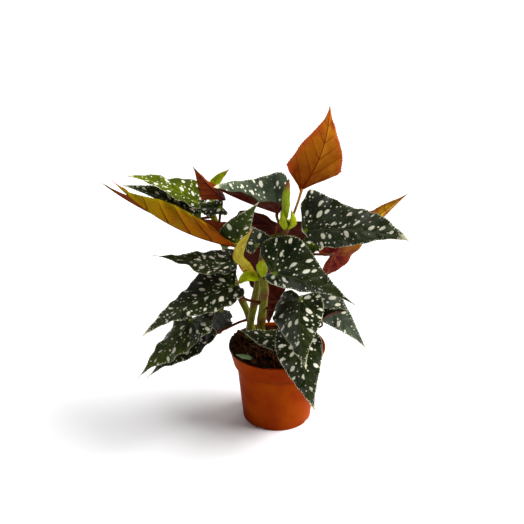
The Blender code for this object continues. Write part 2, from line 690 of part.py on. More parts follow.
def cane_side(cane, share, toward):
    """Point just off the cane's side at a share of its route, towards another point.

    Also returns the way out from the cane and the way the cane grows there.
    """
    dense = smooth_route(cane.route, 101)
    index = round(share * 100)
    growth = (dense[min(index + 1, 100)] - dense[index - 1]).normalized()
    out = toward - dense[index]
    out = (out - growth * out.dot(growth)).normalized()
    return dense[index] + out * (cane_radius(cane, share) + STALK_GAP), out, growth


def make_stalk(stalk, canes, blades):
    """A stalk that leaves its cane sideways and meets the blade's underside square on."""
    blade = blades[stalk.blade]
    form = BladeForm(blade)
    normal = form.place.to_3x3() @ form.normal(0.0, 0.0, 0.0)
    fall = math.radians(max(0.0, -blade.fold_big, -blade.fold_small))
    clearance = RIB_THICKNESS + SEAT_GAP + stalk.radius * math.tan(fall)
    seat = Vector(blade.base) - normal * clearance
    start, out, growth = cane_side(canes[stalk.cane], stalk.share, seat)
    span = (seat - start).length
    first = start + (out + growth * 0.3).normalized() * span * 0.4
    last = seat - normal * span * stalk.lead
    points = []
    for index in range(STALK_POINTS):
        share = index / (STALK_POINTS - 1)
        rest = 1 - share
        points.append(start * rest ** 3 + first * 3 * rest ** 2 * share + last * 3 * rest * share ** 2
                      + seat * share ** 3)
    points.insert(1, start + out * STALK_COLLAR)
    points.insert(-1, seat - normal * STALK_COLLAR)
    radii = [stalk.radius] * len(points)
    return tube(stalk.blade.replace("blade", "stalk"), points, radii, STALK_SIDES, stalk.colour)


def main():
    """Build the pot, the soil and the plant."""
    clear_scene()
    make_pot()
    soil = make_soil()
    canes = {cane.name: cane for cane in CANES}
    blades = {blade.name: blade for blade in BLADES}
    for cane in CANES:
        make_cane(cane, soil)
    for blade in BLADES:
        make_blade(blade)
    for stalk in STALKS:
        make_stalk(stalk, canes, blades)
    for stipule in STIPULES:
        make_stipule(stipule, canes)


main()
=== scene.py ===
"""Potted polka dot begonia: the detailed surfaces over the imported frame.

Lengths inside the classes are in millimetres and become metres where a mesh is made. A leaf's own
axes are: along its midrib from the stalk joint, across to its left, and up from its upper face.
"""

import logging
import math
from collections.abc import Callable, Iterator, Mapping, Sequence
from dataclasses import dataclass, replace
from enum import Enum
from functools import cache, partial
from typing import Any

import bmesh
import bpy
import numpy as np
from bpy.types import Material, Mesh, Node, NodeSocket, NodeTree, Object
from mathutils import Matrix, Vector, noise
from mathutils.bvhtree import BVHTree


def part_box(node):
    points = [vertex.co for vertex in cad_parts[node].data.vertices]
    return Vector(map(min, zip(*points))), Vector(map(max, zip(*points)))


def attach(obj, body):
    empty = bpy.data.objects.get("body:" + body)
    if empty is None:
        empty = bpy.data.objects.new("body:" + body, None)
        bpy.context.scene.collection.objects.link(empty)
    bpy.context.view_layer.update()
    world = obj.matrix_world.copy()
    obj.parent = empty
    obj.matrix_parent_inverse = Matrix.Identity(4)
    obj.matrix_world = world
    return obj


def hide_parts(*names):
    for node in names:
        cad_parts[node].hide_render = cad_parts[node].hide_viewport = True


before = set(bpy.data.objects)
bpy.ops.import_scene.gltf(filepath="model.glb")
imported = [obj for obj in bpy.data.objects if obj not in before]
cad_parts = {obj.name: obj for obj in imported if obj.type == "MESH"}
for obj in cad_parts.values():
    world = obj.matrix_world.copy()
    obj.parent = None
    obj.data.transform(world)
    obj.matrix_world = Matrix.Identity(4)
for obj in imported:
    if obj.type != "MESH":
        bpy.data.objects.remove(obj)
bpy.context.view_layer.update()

MM = 0.001
# Points nearer to each other than this, in metres, are one point.
WELD = 2e-6
FULL_TURN = 2 * math.pi
LOG = logging.getLogger("begonia")

# Settings of a node that eases between its limits, and of a pattern in a UV map's plane. Where
# From Min is the greater one, the eased value falls from From Max on.
EASED = {"interpolation_type": "SMOOTHSTEP"}
FLAT = {"noise_dimensions": "2D"}

Array = np.ndarray
Pair = tuple[float, float]
Triple = tuple[float, float, float]
Adder = Callable[..., Node]


# ---- shared tools

def linear(colour: str) -> tuple[float, float, float, float]:
    """Turn an sRGB hex colour into the linear RGBA that shaders take.

    Args:
        colour: Colour as "#RRGGBB".

    Returns:
        Linear red, green, blue and an alpha of one.
    """
    parts = [int(colour[place:place + 2], 16) / 255 for place in (1, 3, 5)]
    red, green, blue = (
        part / 12.92 if part <= 0.04045 else ((part + 0.055) / 1.055) ** 2.4 for part in parts
    )
    return red, green, blue, 1.0


def add_node(
    tree: NodeTree, kind: str, inputs: Mapping[Any, Any] | None = None, **settings: Any
) -> Node:
    """Add one shader node with its settings and links.

    Args:
        tree: Node tree that gets the node.
        kind: Blender's name of the node type without its "ShaderNode" start.
        inputs: Input name or place to a value, a socket, or a node whose first output is used.
        **settings: Properties of the node itself.

    Returns:
        The new node.
    """
    node = tree.nodes.new("ShaderNode" + kind)
    for name, value in settings.items():
        setattr(node, name, value)
    for key, value in (inputs or {}).items():
        if isinstance(value, Node):
            value = value.outputs[0]
        if isinstance(value, NodeSocket):
            tree.links.new(value, node.inputs[key])
        else:
            node.inputs[key].default_value = value
    return node


def new_material(name: str) -> tuple[Material, Adder]:
    """Make an empty node material.

    Args:
        name: Name of the material.

    Returns:
        The material, and the function that adds nodes to it.
    """
    material = bpy.data.materials.new(name)
    material.use_nodes = True
    material.node_tree.nodes.clear()
    return material, partial(add_node, material.node_tree)


def split_map(add: Adder, name: str) -> tuple[NodeSocket, NodeSocket]:
    """Read the two values of a UV map."""
    parts = add("SeparateXYZ", {0: add("UVMap", uv_map=name)}).outputs
    return parts["X"], parts["Y"]


def place_in_mm(add: Adder) -> Node:
    """Read the place on the surface in millimetres."""
    place = add("TexCoord").outputs["Object"]
    return add("VectorMath", {0: place, 1: (1 / MM, 1 / MM, 1 / MM)}, operation="MULTIPLY")


def add_up(add: Adder, *parts: tuple[Any, float], start: Any = 0.0) -> Node:
    """Add values up, each times its own share.

    Args:
        add: Adds a node to the material.
        *parts: Pairs of a value and its share.
        start: What the sum starts from.

    Returns:
        A node that gives the sum.
    """
    for value, share in parts:
        start = add("Math", {0: value, 1: share, 2: start}, operation="MULTIPLY_ADD")
    return start


def paint(add: Adder, colour: Any, *layers: tuple[Any, str]) -> Node:
    """Paint hex colours over a first colour.

    Args:
        add: Adds a node to the material.
        colour: Node or hex colour to paint over.
        *layers: Pairs of a mask, which is 1 where the paint covers, and a hex colour.

    Returns:
        A node that gives the painted colour.
    """
    if isinstance(colour, str):
        colour = linear(colour)
    for mask, colour_over in layers:
        colour = add("MixRGB", {0: mask, 1: colour, 2: linear(colour_over)})
    return colour


def join_skin(
    material: Material, add: Adder, skin: Mapping[str, Any], height: Any, glow: Any = None,
    through: float = 0.0, strength: float = 0.9, depth: float = MM,
) -> Material:
    """Join a skin, its relief and the light that comes through it into a material's output.

    Args:
        material: The material to finish.
        add: Adds a node to it.
        skin: Values and nodes of the skin by input name.
        height: Node that gives the height of the relief.
        glow: Colour of the light that comes through, where the skin lets any through.
        through: Share of the light that comes through.
        strength: How strongly the relief shows.
        depth: What a height of 1 stands for, in metres.

    Returns:
        The same material.
    """
    bump = add("Bump", {"Height": height, "Strength": strength, "Distance": depth})
    surface = add("BsdfPrincipled", {"Normal": bump, **skin})
    if through:
        behind = add("BsdfTranslucent", {"Color": glow, "Normal": bump})
        surface = add("MixShader", {0: through, 1: surface, 2: behind})
    add("OutputMaterial", {"Surface": surface})
    return material


def mesh_object(
    name: str, points: Array, faces: Sequence[Sequence[int]],
    maps: Mapping[str, Array] | None = None, sharp: float = 60.0,
) -> Object:
    """Make a smooth-shaded object from points in millimetres.

    Args:
        name: Name of the object.
        points: Points, one row each, in the frame's axes.
        faces: Point numbers of each face.
        maps: UV map name to one pair of values for each face corner.
        sharp: Edges that bend by more degrees than this stay sharp.

    Returns:
        The new object, linked to the scene.
    """
    mesh = bpy.data.meshes.new(name)
    mesh.from_pydata((points * MM).tolist(), [], faces)
    for map_name, values in (maps or {}).items():
        layer = mesh.uv_layers.new(name=map_name)
        layer.uv.foreach_set("vector", np.asarray(values, np.float32).ravel())
    mesh.shade_smooth()
    mesh.set_sharp_from_angle(angle=math.radians(sharp))
    item = bpy.data.objects.new(name, mesh)
    bpy.context.scene.collection.objects.link(item)
    return item


def settle(
    item: Object, slot: str, materials: Sequence[Material], *nodes: str
) -> Object:
    """Dress a piece, let it ride on the plant and put it in place of its frame nodes.

    Args:
        item: The piece.
        slot: Material slot of the record that the piece's finish belongs to; not used.
        materials: Materials of the piece, by material number.
        *nodes: Frame nodes that the piece stands for.

    Returns:
        The same piece.
    """
    for material in materials:
        item.data.materials.append(material)
    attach(item, "root")
    if nodes:
        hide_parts(*nodes)
    LOG.info("%s: %d faces", item.name, len(item.data.polygons))
    return item


def smooth_curve(points: Array, places: Array) -> Array:
    """Read a Catmull-Rom curve.

    Args:
        points: Points that the curve passes through, one row each.
        places: Places along it, where 1.5 is halfway from the second point to the third.

    Returns:
        One row for each place.
    """
    held = np.vstack([2 * points[0] - points[1], points, 2 * points[-1] - points[-2]])
    spans = np.clip(places.astype(int), 0, len(points) - 2)
    share = (places - spans)[:, None]
    a, b, c, d = (held[spans + step] for step in range(4))
    return 0.5 * (
        2 * b + (c - a) * share + (2 * a - 5 * b + 4 * c - d) * share**2
        + (3 * b - a - 3 * c + d) * share**3
    )


def unit(vectors: Array) -> Array:
    """Scale vectors, one in each row, to a length of one."""
    return vectors / np.maximum(np.linalg.norm(vectors, axis=-1, keepdims=True), 1e-9)


def smooth_step(values: Array, low: float, high: float) -> Array:
    """Ease values from 0 at low to 1 at high."""
    share = np.clip((values - low) / (high - low), 0.0, 1.0)
    return share * share * (3 - 2 * share)


def name_seed(name: str) -> int:
    """Turn a name into its seed for random numbers."""
    return sum(map(ord, name))


def turns(count: int) -> Array:
    """Space angles evenly round a full turn, in radians."""
    return np.linspace(0, FULL_TURN, count, endpoint=False)


def path_lengths(points: Array) -> Array:
    """Measure a route from its start to each of its points."""
    return np.concatenate([[0], np.linalg.norm(np.diff(points, axis=0), axis=1).cumsum()])


def welded(mesh: Mesh) -> bmesh.types.BMesh:
    """Read a mesh and join its double points.

    Args:
        mesh: The mesh, which stays as it is.

    Returns:
        The joined copy, which its user frees.
    """
    bm = bmesh.new()
    bm.from_mesh(mesh)
    bmesh.ops.remove_doubles(bm, verts=bm.verts, dist=WELD)
    bm.verts.index_update()
    return bm


def cross_axes(ahead: Array, start: Triple) -> Iterator[tuple[Array, Array]]:
    """Carry two axes square to a route along it, without a twist.

    Args:
        ahead: Directions of the route at its points, one row each.
        start: Any direction but the route's first one.

    Yields:
        The two axes at each point.
    """
    side = np.cross(ahead[0], start)
    for forward in ahead:
        side = unit(side - forward * np.dot(side, forward))
        yield side, np.cross(forward, side)


def around(axes: tuple[Array, Array], turn: float) -> Array:
    """Point away from a route at an angle about it."""
    return axes[0] * math.cos(turn) + axes[1] * math.sin(turn)


def node_graph(node: str) -> tuple[Array, list[set[int]]]:
    """Weld a frame node's mesh and list its neighbours.

    Args:
        node: Name of the frame node.

    Returns:
        Its points in millimetres, and the neighbours of each point.
    """
    bm = welded(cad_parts[node].data)
    points = np.array([vert.co[:] for vert in bm.verts]) / MM
    links = [{edge.other_vert(vert).index for edge in vert.link_edges} for vert in bm.verts]
    bm.free()
    return points, links


def levels_from(start: set[int], links: list[set[int]]) -> list[list[int]]:
    """Group points by how many edges they are away from the start.

    Args:
        start: The points to start from.
        links: Neighbours of each point.

    Returns:
        The groups, nearest first.
    """
    seen, levels = set(start), [sorted(start)]
    while True:
        ahead = {other for point in levels[-1] for other in links[point]} - seen
        if not ahead:
            return levels
        seen |= ahead
        levels.append(sorted(ahead))


# ---- leaf finishes

@dataclass(frozen=True)
class LeafFinish:
    """Living begonia leaf: a waxy upper skin with cream spots over a coloured under skin.

    The wax gives a broad grey sheen, the spots are air pockets under the skin and so look chalky,
    and the thinner and younger the leaf, the more light comes through from behind. wax is how
    strongly it reflects, where 0.5 is a clean glossy coat. spot_share is the share of places that
    hold a spot, and vein_reach widens the veins of the under skin.
    """

    name: str
    slot: str
    upper_dark: str
    upper_light: str
    upper_vein: str
    under_base: str
    under_tip: str
    under_edge: str
    under_vein: str
    glow: str
    spot: str = "#E4E1CA"
    margin: str = "#C9CCA6"
    tip: str = "#E2DCB4"
    joint: str = "#7E8E14"
    through_upper: float = 0.05
    through_under: float = 0.05
    wax: float = 0.35
    roughness: float = 0.34
    spot_share: float = 0.85
    vein_reach: float = 1.0

    def vein_mask(self, add: Adder, wide: float) -> Node:
        """Paint the midrib and the side veins, thinner towards the margin.

        Args:
            add: Adds a node to the material.
            wide: Half width of a side vein near the midrib, in millimetres.

        Returns:
            A node that is 1 on a vein and 0 between veins.
        """
        number, spread = split_map(add, "vein_field")
        to_margin, along = split_map(add, "edge")
        across = split_map(add, "blade_mm")[1]
        turn = add("Math", {0: number, 1: 0.5}, operation="PINGPONG")
        off_vein = add("Math", {0: turn, 1: spread}, operation="MULTIPLY")
        thin = add("MapRange", {"Value": to_margin, "From Max": 22.0, "To Min": 0.3 * wide,
                                "To Max": wide})
        share = add("Math", {0: off_vein, 1: thin}, operation="DIVIDE")
        side = add("MapRange", {"Value": share, "From Min": 1.6, "From Max": 0.4, "To Max": 0.8},
                   **EASED)
        off_rib = add("Math", {0: across}, operation="ABSOLUTE")
        rib_wide = add("MapRange", {"Value": along, "To Min": 1.5 * wide, "To Max": 0.4 * wide})
        rib_share = add("Math", {0: off_rib, 1: rib_wide}, operation="DIVIDE")
        rib = add("MapRange", {"Value": rib_share, "From Min": 1.4, "From Max": 0.5}, **EASED)
        return add("Math", {0: side, 1: rib}, operation="MAXIMUM")

    def vein_net(self, add: Adder) -> Node:
        """Paint the net of fine veins between the side veins, with meshes of about 5 mm.

        Args:
            add: Adds a node to the material.

        Returns:
            A node that is 1 on a fine vein and 0 between them.
        """
        blade = add("UVMap", uv_map="blade_mm")
        wander = add("TexNoise", {"Vector": blade, "Scale": 0.25, "Detail": 2.0}, **FLAT)
        moved = add("VectorMath", {0: wander.outputs["Color"], 1: (3.0, 3.0, 0.0), 2: blade},
                    operation="MULTIPLY_ADD")
        cell = add("TexVoronoi", {"Vector": moved, "Scale": 0.2}, voronoi_dimensions="2D",
                   feature="DISTANCE_TO_EDGE")
        return add("MapRange", {"Value": cell, "From Min": 0.09, "From Max": 0.0}, **EASED)

    def spots(
        self, add: Adder, cells: float, small: float, large: float, stretch: float, share: float
    ) -> Node:
        """Scatter oval spots that lie along the veins.

        Args:
            add: Adds a node to the material.
            cells: How many spot cells lie in one cell of the leaf's own spot map.
            small: Least half width of a spot, as a share of its cell.
            large: Greatest half width of a spot, as a share of its cell.
            stretch: Length of a spot over its width.
            share: Share of the cells that hold a spot.

        Returns:
            A node that is 1 inside a spot.
        """
        places = add("VectorMath", {0: add("UVMap", uv_map="spot_cells"), 1: (cells, cells, 0.0)},
                     operation="MULTIPLY")
        cell = add("TexVoronoi", {"Vector": places, "Scale": 1.0, "Randomness": 0.62},
                   voronoi_dimensions="2D", feature="F1")
        off = add("VectorMath", {0: places, 1: cell.outputs["Position"]}, operation="SUBTRACT")
        run = add("VectorMath", {0: off, 1: add("UVMap", uv_map="vein_way")},
                  operation="DOT_PRODUCT").outputs["Value"]
        reach = add("VectorMath", {0: off}, operation="LENGTH").outputs["Value"]
        run_square = add("Math", {0: run, 1: run}, operation="MULTIPLY")
        reach_square = add("Math", {0: reach, 1: reach}, operation="MULTIPLY")
        oval = add_up(add, (run_square, 1 / stretch**2 - 1), start=reach_square)
        away = add("Math", {0: oval, 1: 0.5}, operation="POWER")
        rag = add("TexNoise", {"Vector": places, "Scale": 4.0, "Detail": 1.0}, **FLAT)
        ragged = add_up(add, (rag, 0.06), start=away)
        chance = add("SeparateColor", {0: cell.outputs["Color"]})
        size = add("MapRange", {"Value": chance.outputs["Red"], "To Min": small, "To Max": large})
        held = add("Math", {0: chance.outputs["Green"], 1: share}, operation="LESS_THAN")
        to_margin = split_map(add, "edge")[0]
        shrink = add("MapRange", {"Value": to_margin, "From Max": 9.0, "To Min": 0.45})
        size = add("Math", {0: size, 1: shrink}, operation="MULTIPLY")
        size = add("Math", {0: size, 1: held}, operation="MULTIPLY")
        over = add("Math", {0: ragged, 1: size}, operation="SUBTRACT")
        return add("MapRange", {"Value": over, "From Min": 0.08, "From Max": 0.02}, **EASED)

    def all_spots(self, add: Adder) -> Node:
        """Join large spots, small spots and the flecks along the margin, clear of the midrib.

        Args:
            add: Adds a node to the material.

        Returns:
            A node that is 1 inside a spot or a fleck.
        """
        across = split_map(add, "blade_mm")[1]
        to_margin, along = split_map(add, "edge")
        large = self.spots(add, 1.0, 0.09, 0.17, 1.8, self.spot_share)
        small = self.spots(add, 2.4, 0.08, 0.17, 1.35, 0.5 * self.spot_share)
        flecks = self.spots(add, 5.6, 0.2, 0.34, 1.2, 0.75)
        ahead = add("MapRange", {"Value": along, "From Min": 0.8, "From Max": 1.0, "To Max": 4.0})
        inside = add("Math", {0: to_margin, 1: ahead}, operation="SUBTRACT")
        near = add("MapRange", {"Value": inside, "From Min": 2.8, "From Max": 1.2}, **EASED)
        flecks = add("Math", {0: flecks, 1: near}, operation="MULTIPLY")
        mask = add("Math", {0: large, 1: small}, operation="MAXIMUM")
        off_rib = add("Math", {0: across}, operation="ABSOLUTE")
        clear = add("MapRange", {"Value": off_rib, "From Min": 1.0, "From Max": 2.0}, **EASED)
        mask = add("Math", {0: mask, 1: clear}, operation="MULTIPLY")
        return add("Math", {0: mask, 1: flecks}, operation="MAXIMUM")

    def edge_masks(self, add: Adder) -> tuple[Node, Node]:
        """Paint the pale serrated margin and the pale tip.

        Args:
            add: Adds a node to the material.

        Returns:
            The margin's mask and the tip's mask.
        """
        to_margin, along = split_map(add, "edge")
        blade = add("UVMap", uv_map="blade_mm")
        broken = add("TexNoise", {"Vector": blade, "Scale": 0.45, "Detail": 2.0}, **FLAT)
        wide = add("MapRange", {"Value": broken, "From Min": 0.38, "From Max": 0.62, "To Min": 0.1,
                                "To Max": 0.9})
        over = add("Math", {0: to_margin, 1: wide}, operation="DIVIDE")
        margin = add("MapRange", {"Value": over, "From Min": 1.3, "From Max": 0.5}, **EASED)
        far = add_up(add, (broken, 0.12), start=along)
        tip = add("MapRange", {"Value": far, "From Min": 0.94, "From Max": 1.02}, **EASED)
        return margin, tip

    def upper(self) -> Material:
        """Make the waxy upper skin: dark between veins, with cream spots and a cream margin.

        Returns:
            The upper skin's material.
        """
        material, add = new_material(self.name + "_upper_skin")
        blade = add("UVMap", uv_map="blade_mm")
        patches = add("TexNoise", {"Vector": blade, "Scale": 0.05, "Detail": 3.0}, **FLAT)
        patches = add("MapRange", {"Value": patches, "From Min": 0.35, "From Max": 0.65})
        veins = self.vein_mask(add, 0.5)
        net = self.vein_net(add)
        spots = self.all_spots(add)
        margin, tip = self.edge_masks(add)
        along = split_map(add, "edge")[1]
        # The random patches are the leaf's own lighter green; the lightening along the midrib
        # towards the tip is painted sheen.
        tone = add_up(add, (patches, 0.5), (along, 0.6))
        reach = add("VectorMath", {0: blade}, operation="LENGTH").outputs["Value"]
        joint = add("MapRange", {"Value": reach, "From Min": 4.5, "From Max": 1.5, "To Max": 0.65},
                    **EASED)
        colour = paint(
            add, self.upper_dark, (tone, self.upper_light),
            (add_up(add, (net, 0.12), (veins, 0.55)), self.upper_vein), (spots, self.spot),
            (joint, self.joint), (margin, self.margin), (tip, self.tip),
        )
        # Leaf cells are about 0.1 mm, too fine to show, so the grain is drawn at 1 mm.
        grain = add("TexNoise", {"Vector": blade, "Scale": 1.0, "Detail": 3.0}, **FLAT)
        rough = add("MapRange", {"Value": grain, "From Min": 0.3, "From Max": 0.7,
                                 "To Min": self.roughness - 0.06, "To Max": self.roughness + 0.10})
        rough = add_up(add, (spots, 0.18), start=rough)
        height = add_up(add, (grain, 0.16), (veins, -0.30), (net, -0.10), (spots, 0.10))
        glow = paint(add, self.glow, (spots, self.spot))
        skin = {"Base Color": colour, "Roughness": rough, "IOR": 1.45,
                "Specular IOR Level": self.wax}
        return join_skin(material, add, skin, height, glow, self.through_upper)

    def under(self) -> Material:
        """Make the under skin: its veins stand out, and its colour changes to tip and margin.

        Returns:
            The under skin's material.
        """
        material, add = new_material(self.name + "_under_skin")
        blade = add("UVMap", uv_map="blade_mm")
        to_margin, along = split_map(add, "edge")
        patches = add("TexNoise", {"Vector": blade, "Scale": 0.07, "Detail": 3.0}, **FLAT)
        veins = self.vein_mask(add, 0.8 * self.vein_reach)
        net = self.vein_net(add)
        # On the leaf that turns from magenta to orange, this change towards the tip is painted
        # back-light and painted shade at the base.
        far = add_up(add, (patches, 0.5), start=along)
        far = add("MapRange", {"Value": far, "From Min": 0.25, "From Max": 1.15})
        near = add_up(add, (patches, 14.0), start=to_margin)
        near = add("MapRange", {"Value": near, "From Min": 17.0, "From Max": 7.0, "To Max": 0.75},
                   **EASED)
        colour = paint(add, self.under_base, (far, self.under_tip), (near, self.under_edge),
                       (add_up(add, (net, 0.16), (veins, 0.9)), self.under_vein))
        grain = add("TexNoise", {"Vector": blade, "Scale": 0.9, "Detail": 3.0}, **FLAT)
        rough = add("MapRange", {"Value": grain, "From Min": 0.3, "From Max": 0.7, "To Min": 0.42,
                                 "To Max": 0.55})
        height = add_up(add, (grain, 0.12), (veins, 0.45), (net, 0.12))
        skin = {"Base Color": colour, "Roughness": rough, "IOR": 1.45, "Specular IOR Level": 0.1}
        return join_skin(material, add, skin, height, colour, self.through_under)

    @cache
    def skins(self) -> tuple[Material, Material]:
        """Make the upper and the under skin, once for all leaves that share them."""
        return self.upper(), self.under()


class Foliage(Enum):
    """The ages of leaf on the plant."""

    MATURE = LeafFinish(
        "mature_leaf", "leaf_mature", upper_dark="#0A1303", upper_light="#2F3914",
        upper_vein="#46562A", under_base="#420C04", under_tip="#561607", under_edge="#3C1A08",
        under_vein="#6E2A14", glow="#3C4A08",
    )
    GREEN = LeafFinish(
        "young_green_leaf", "leaf_young", upper_dark="#203202", upper_light="#606A02",
        upper_vein="#808C0C", under_base="#6E6A0C", under_tip="#8E8A10", under_edge="#6E6A0C",
        under_vein="#8C4A0E", glow="#7A8A00", through_upper=0.12, through_under=0.3, wax=0.15,
        roughness=0.42,
    )
    ORANGE = LeafFinish(
        "orange_shoot_leaf", "leaf_orange", upper_dark="#7A5A04", upper_light="#97730A",
        upper_vein="#7A2A04", under_base="#A04602", under_tip="#D88A12", under_edge="#B89404",
        under_vein="#7A1E02", glow="#E89A14", through_upper=0.35, through_under=0.45,
        spot_share=0.0, margin="#A86A1A", tip="#B0541A", wax=0.2, vein_reach=0.7,
    )
    RED = LeafFinish(
        "red_shoot_leaf", "leaf_red", upper_dark="#2E2206", upper_light="#463410",
        upper_vein="#6A200C", under_base="#6A1E04", under_tip="#843A06", under_edge="#74300A",
        under_vein="#300602", glow="#A03008", through_upper=0.12, through_under=0.1, wax=0.25,
    )


# ---- leaves

# A half's outline runs from the notch behind the stalk round its lobe and along its flank to the
# tip. A pair is the place along the midrib and the place across, as shares of the length and of
# the half's width, and a station is where on the midrib the row of a flank's point starts.
NOTCH = -0.035
STATIONS = (0.14, 0.32, 0.54, 0.76, 0.91, 1.0)
BIG_LOBE = ((-0.15, 0.20), (-0.26, 0.50), (-0.24, 0.80), (-0.11, 0.99))
BIG_FLANK = ((0.10, 1.0), (0.33, 0.78), (0.58, 0.44), (0.80, 0.16), (0.93, 0.045))
BROAD_FLANK = ((0.10, 0.86), (0.33, 0.62), (0.58, 0.50), (0.80, 0.27), (0.93, 0.10))
SMALL_LOBE = ((-0.09, 0.30), (-0.10, 0.62), (-0.03, 0.88))
SMALL_FLANK = ((0.12, 1.0), (0.33, 0.88), (0.56, 0.56), (0.79, 0.20), (0.925, 0.055))
LOBE_VEIN = math.radians(45)
WAVE_RATE = 9.0
WAVE_PHASES = (0.8, 2.2)
CRINKLE_LENGTHS = (3.1, 5.3, 8.9)
SWELL_LENGTHS = (6.5, 8.0)
# The skin dips towards a vein over this many millimetres, and a tooth starts this far out.
VEIN_DIP = 2.5
TOOTH_FOOT = 0.85
# A tooth rises over three steps of the margin and then falls back.
TOOTH_STEPS = (0.05, 0.45, 1.0)
# Rows of points from the midrib out, as shares of the way, closer together at both ends.
ROWS = np.array([0, 0.03, 0.07, 0.13, 0.21, 0.3, 0.4, 0.5, 0.6, 0.7, 0.79, 0.87, 0.94, 1.0])


@dataclass
class Leaf:
    """One lopsided leaf: two halves that fan from the stalk joint and run beside the midrib.

    heading leads from the stalk joint to the tip, and faces is where the upper face looks. lobe is
    +1 when the big half lies left of the midrib. widths, folds and forward hold a value for the
    big and one for the small half. widths are shares of the length. reach scales how far the lobes
    run back, forward carries each half's corner towards the tip, taper is full below 1 and hollow
    above it, broad keeps the big half wide near the tip, angular draws the outline straight
    between its corners, ears is how far both corners are drawn out and then back, and sweep bows
    the midrib. The halves are lifted by folds at the midrib, lobe_lift lifts the lobes about their
    main veins, and droop bends the midrib down, in degrees. wave is the height of the broad
    ripple, crinkle that of the fine one at the margin, billow that of the soft swells between, and
    quilting that of the skin puffed up between veins. finish takes the place of the age's own.
    tooth and tooth_height are the length and height of the margin's teeth. Side veins leave the
    midrib every vein_step of the length at vein_angle and curve by vein_bend, and those of the
    lobes fan out by fan_step. rib_thickness, thickness and cad_thickness are those of the midrib,
    the blade and the frame's plain blade, and spot_cell is the large spots' spacing.
    """

    name: str
    heading: Triple
    faces: Triple
    lobe: int = 1
    widths: Pair = (0.48, 0.27)
    folds: Pair = (8.0, 8.0)
    lobe_lift: float = 12.0
    reach: float = 1.0
    forward: Pair = (0.0, 0.0)
    taper: float = 1.0
    broad: bool = False
    angular: float = 0.0
    ears: Pair = (0.0, 0.0)
    sweep: float = 0.03
    droop: float = 16.0
    wave: float = 1.2
    crinkle: float = 1.7
    age: Foliage = Foliage.MATURE
    finish: LeafFinish | None = None
    tooth: float = 3.4
    tooth_height: float = 1.2
    vein_step: float = 0.17
    vein_angle: float = 48.0
    fan_step: float = 31.0
    vein_bend: float = 0.3
    quilting: float = 0.95
    billow: float = 1.3
    rib_thickness: float = 1.0
    thickness: float = 0.5
    spot_cell: float = 14.5
    cad_thickness: float = 0.6

    def __post_init__(self) -> None:
        """Measure the leaf, and find its place from the frame node's box."""
        self.bend = math.radians(self.droop) or 1e-4
        self.length = 1.0
        tip = self.surface(np.array(1.0), np.array(0.0), np.array(0.0))
        heading = Vector(self.heading)
        along = heading.normalized()
        up = Vector(self.faces)
        up = (up - along * up.dot(along)).normalized()
        angle = math.atan2(tip[2], tip[0])
        ahead = along * math.cos(angle) - up * math.sin(angle)
        normal = along * math.sin(angle) + up * math.cos(angle)
        self.turn = np.array(Matrix((ahead, normal.cross(ahead), normal)))
        self.length = heading.length / math.hypot(tip[0], tip[2])
        self.joint = np.zeros(3)
        low, high = (np.array(corner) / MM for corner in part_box("blade_" + self.name))
        coarse = self.coarse_points()
        self.joint = ((low + high) - (coarse.min(axis=0) + coarse.max(axis=0))) / 2

    def surface(self, along: Array, across: Array, share: Array) -> Array:
        """Bend the flat leaf.

        Args:
            along: Places along the midrib, as shares of the length.
            across: Places across it, as shares of the length, positive on the left.
            share: How far each place is from the midrib to the margin, where 1 is the margin.

        Returns:
            Points in the leaf's own axes.
        """
        big = across * self.lobe > 0
        width = np.abs(across)
        behind = np.maximum(width * math.cos(LOBE_VEIN) - along * math.sin(LOBE_VEIN), 0.0)
        lobe_lift = math.radians(self.lobe_lift)
        slack = behind * (1 - math.cos(lobe_lift))
        along = along + slack * math.sin(LOBE_VEIN)
        width = width - slack * math.cos(LOBE_VEIN)
        lift = np.radians(np.where(big, *self.folds))
        phase = np.where(big, *WAVE_PHASES)
        ripple = self.wave * np.sin(WAVE_RATE * along + phase) * share**2 / max(self.length, 1.0)
        raised = width * np.sin(lift) + behind * math.sin(lobe_lift) + ripple
        ahead = np.maximum(along, 0.0)
        bow = 4 * self.sweep * self.lobe * along * (1 - ahead)
        turn = self.bend * ahead
        side = bow + np.copysign(width * np.cos(lift), across)
        place = np.stack([
            np.sin(turn) / self.bend + np.minimum(along, 0.0) + np.sin(turn) * raised,
            side,
            (np.cos(turn) - 1) / self.bend + np.cos(turn) * raised,
        ], axis=-1)
        return place * self.length

    def normals(self, along: Array, across: Array, share: Array) -> Array:
        """Find the upper face's normals from small steps on the surface.

        Args:
            along: Places along the midrib, as shares of the length.
            across: Places across it, as shares of the length, positive on the left.
            share: How far each place is from the midrib to the margin, where 1 is the margin.

        Returns:
            Unit vectors in the leaf's own axes.
        """
        step = 0.01
        ahead = self.surface(along + step, across, share)
        ahead = ahead - self.surface(along - step, across, share)
        flat = np.abs(across) < step
        out = np.where(flat, step, np.copysign(step, across))
        inner = np.where(flat, -step, across)
        outer = np.where(flat, step, across + out)
        level = np.where(flat, 0.0, share)
        wide = self.surface(along, outer, level) - self.surface(along, inner, level)
        wide = wide * np.where(flat, 1.0, np.sign(out))[..., None]
        return unit(np.cross(ahead, wide))

    def controls(self, big: bool) -> Array:
        """List one half's outline from the notch to the tip.

        Args:
            big: Whether it is the big half.

        Returns:
            Rows of midrib station, place along and place across.
        """
        flank = (BROAD_FLANK if self.broad else BIG_FLANK) if big else SMALL_FLANK
        width = self.widths[0] * self.lobe if big else -self.widths[1] * self.lobe
        forward = self.forward[0] if big else self.forward[1]
        rows = [(0.0, NOTCH, 0.0)]
        for along, across in BIG_LOBE if big else SMALL_LOBE:
            rows.append((0.0, along * self.reach + forward * across, across * width))
        for station, (along, across) in zip(STATIONS, flank):
            rows.append((station, along + forward * across, across**self.taper * width))
        return np.array([*rows, (1.0, 1.0, 0.0)])

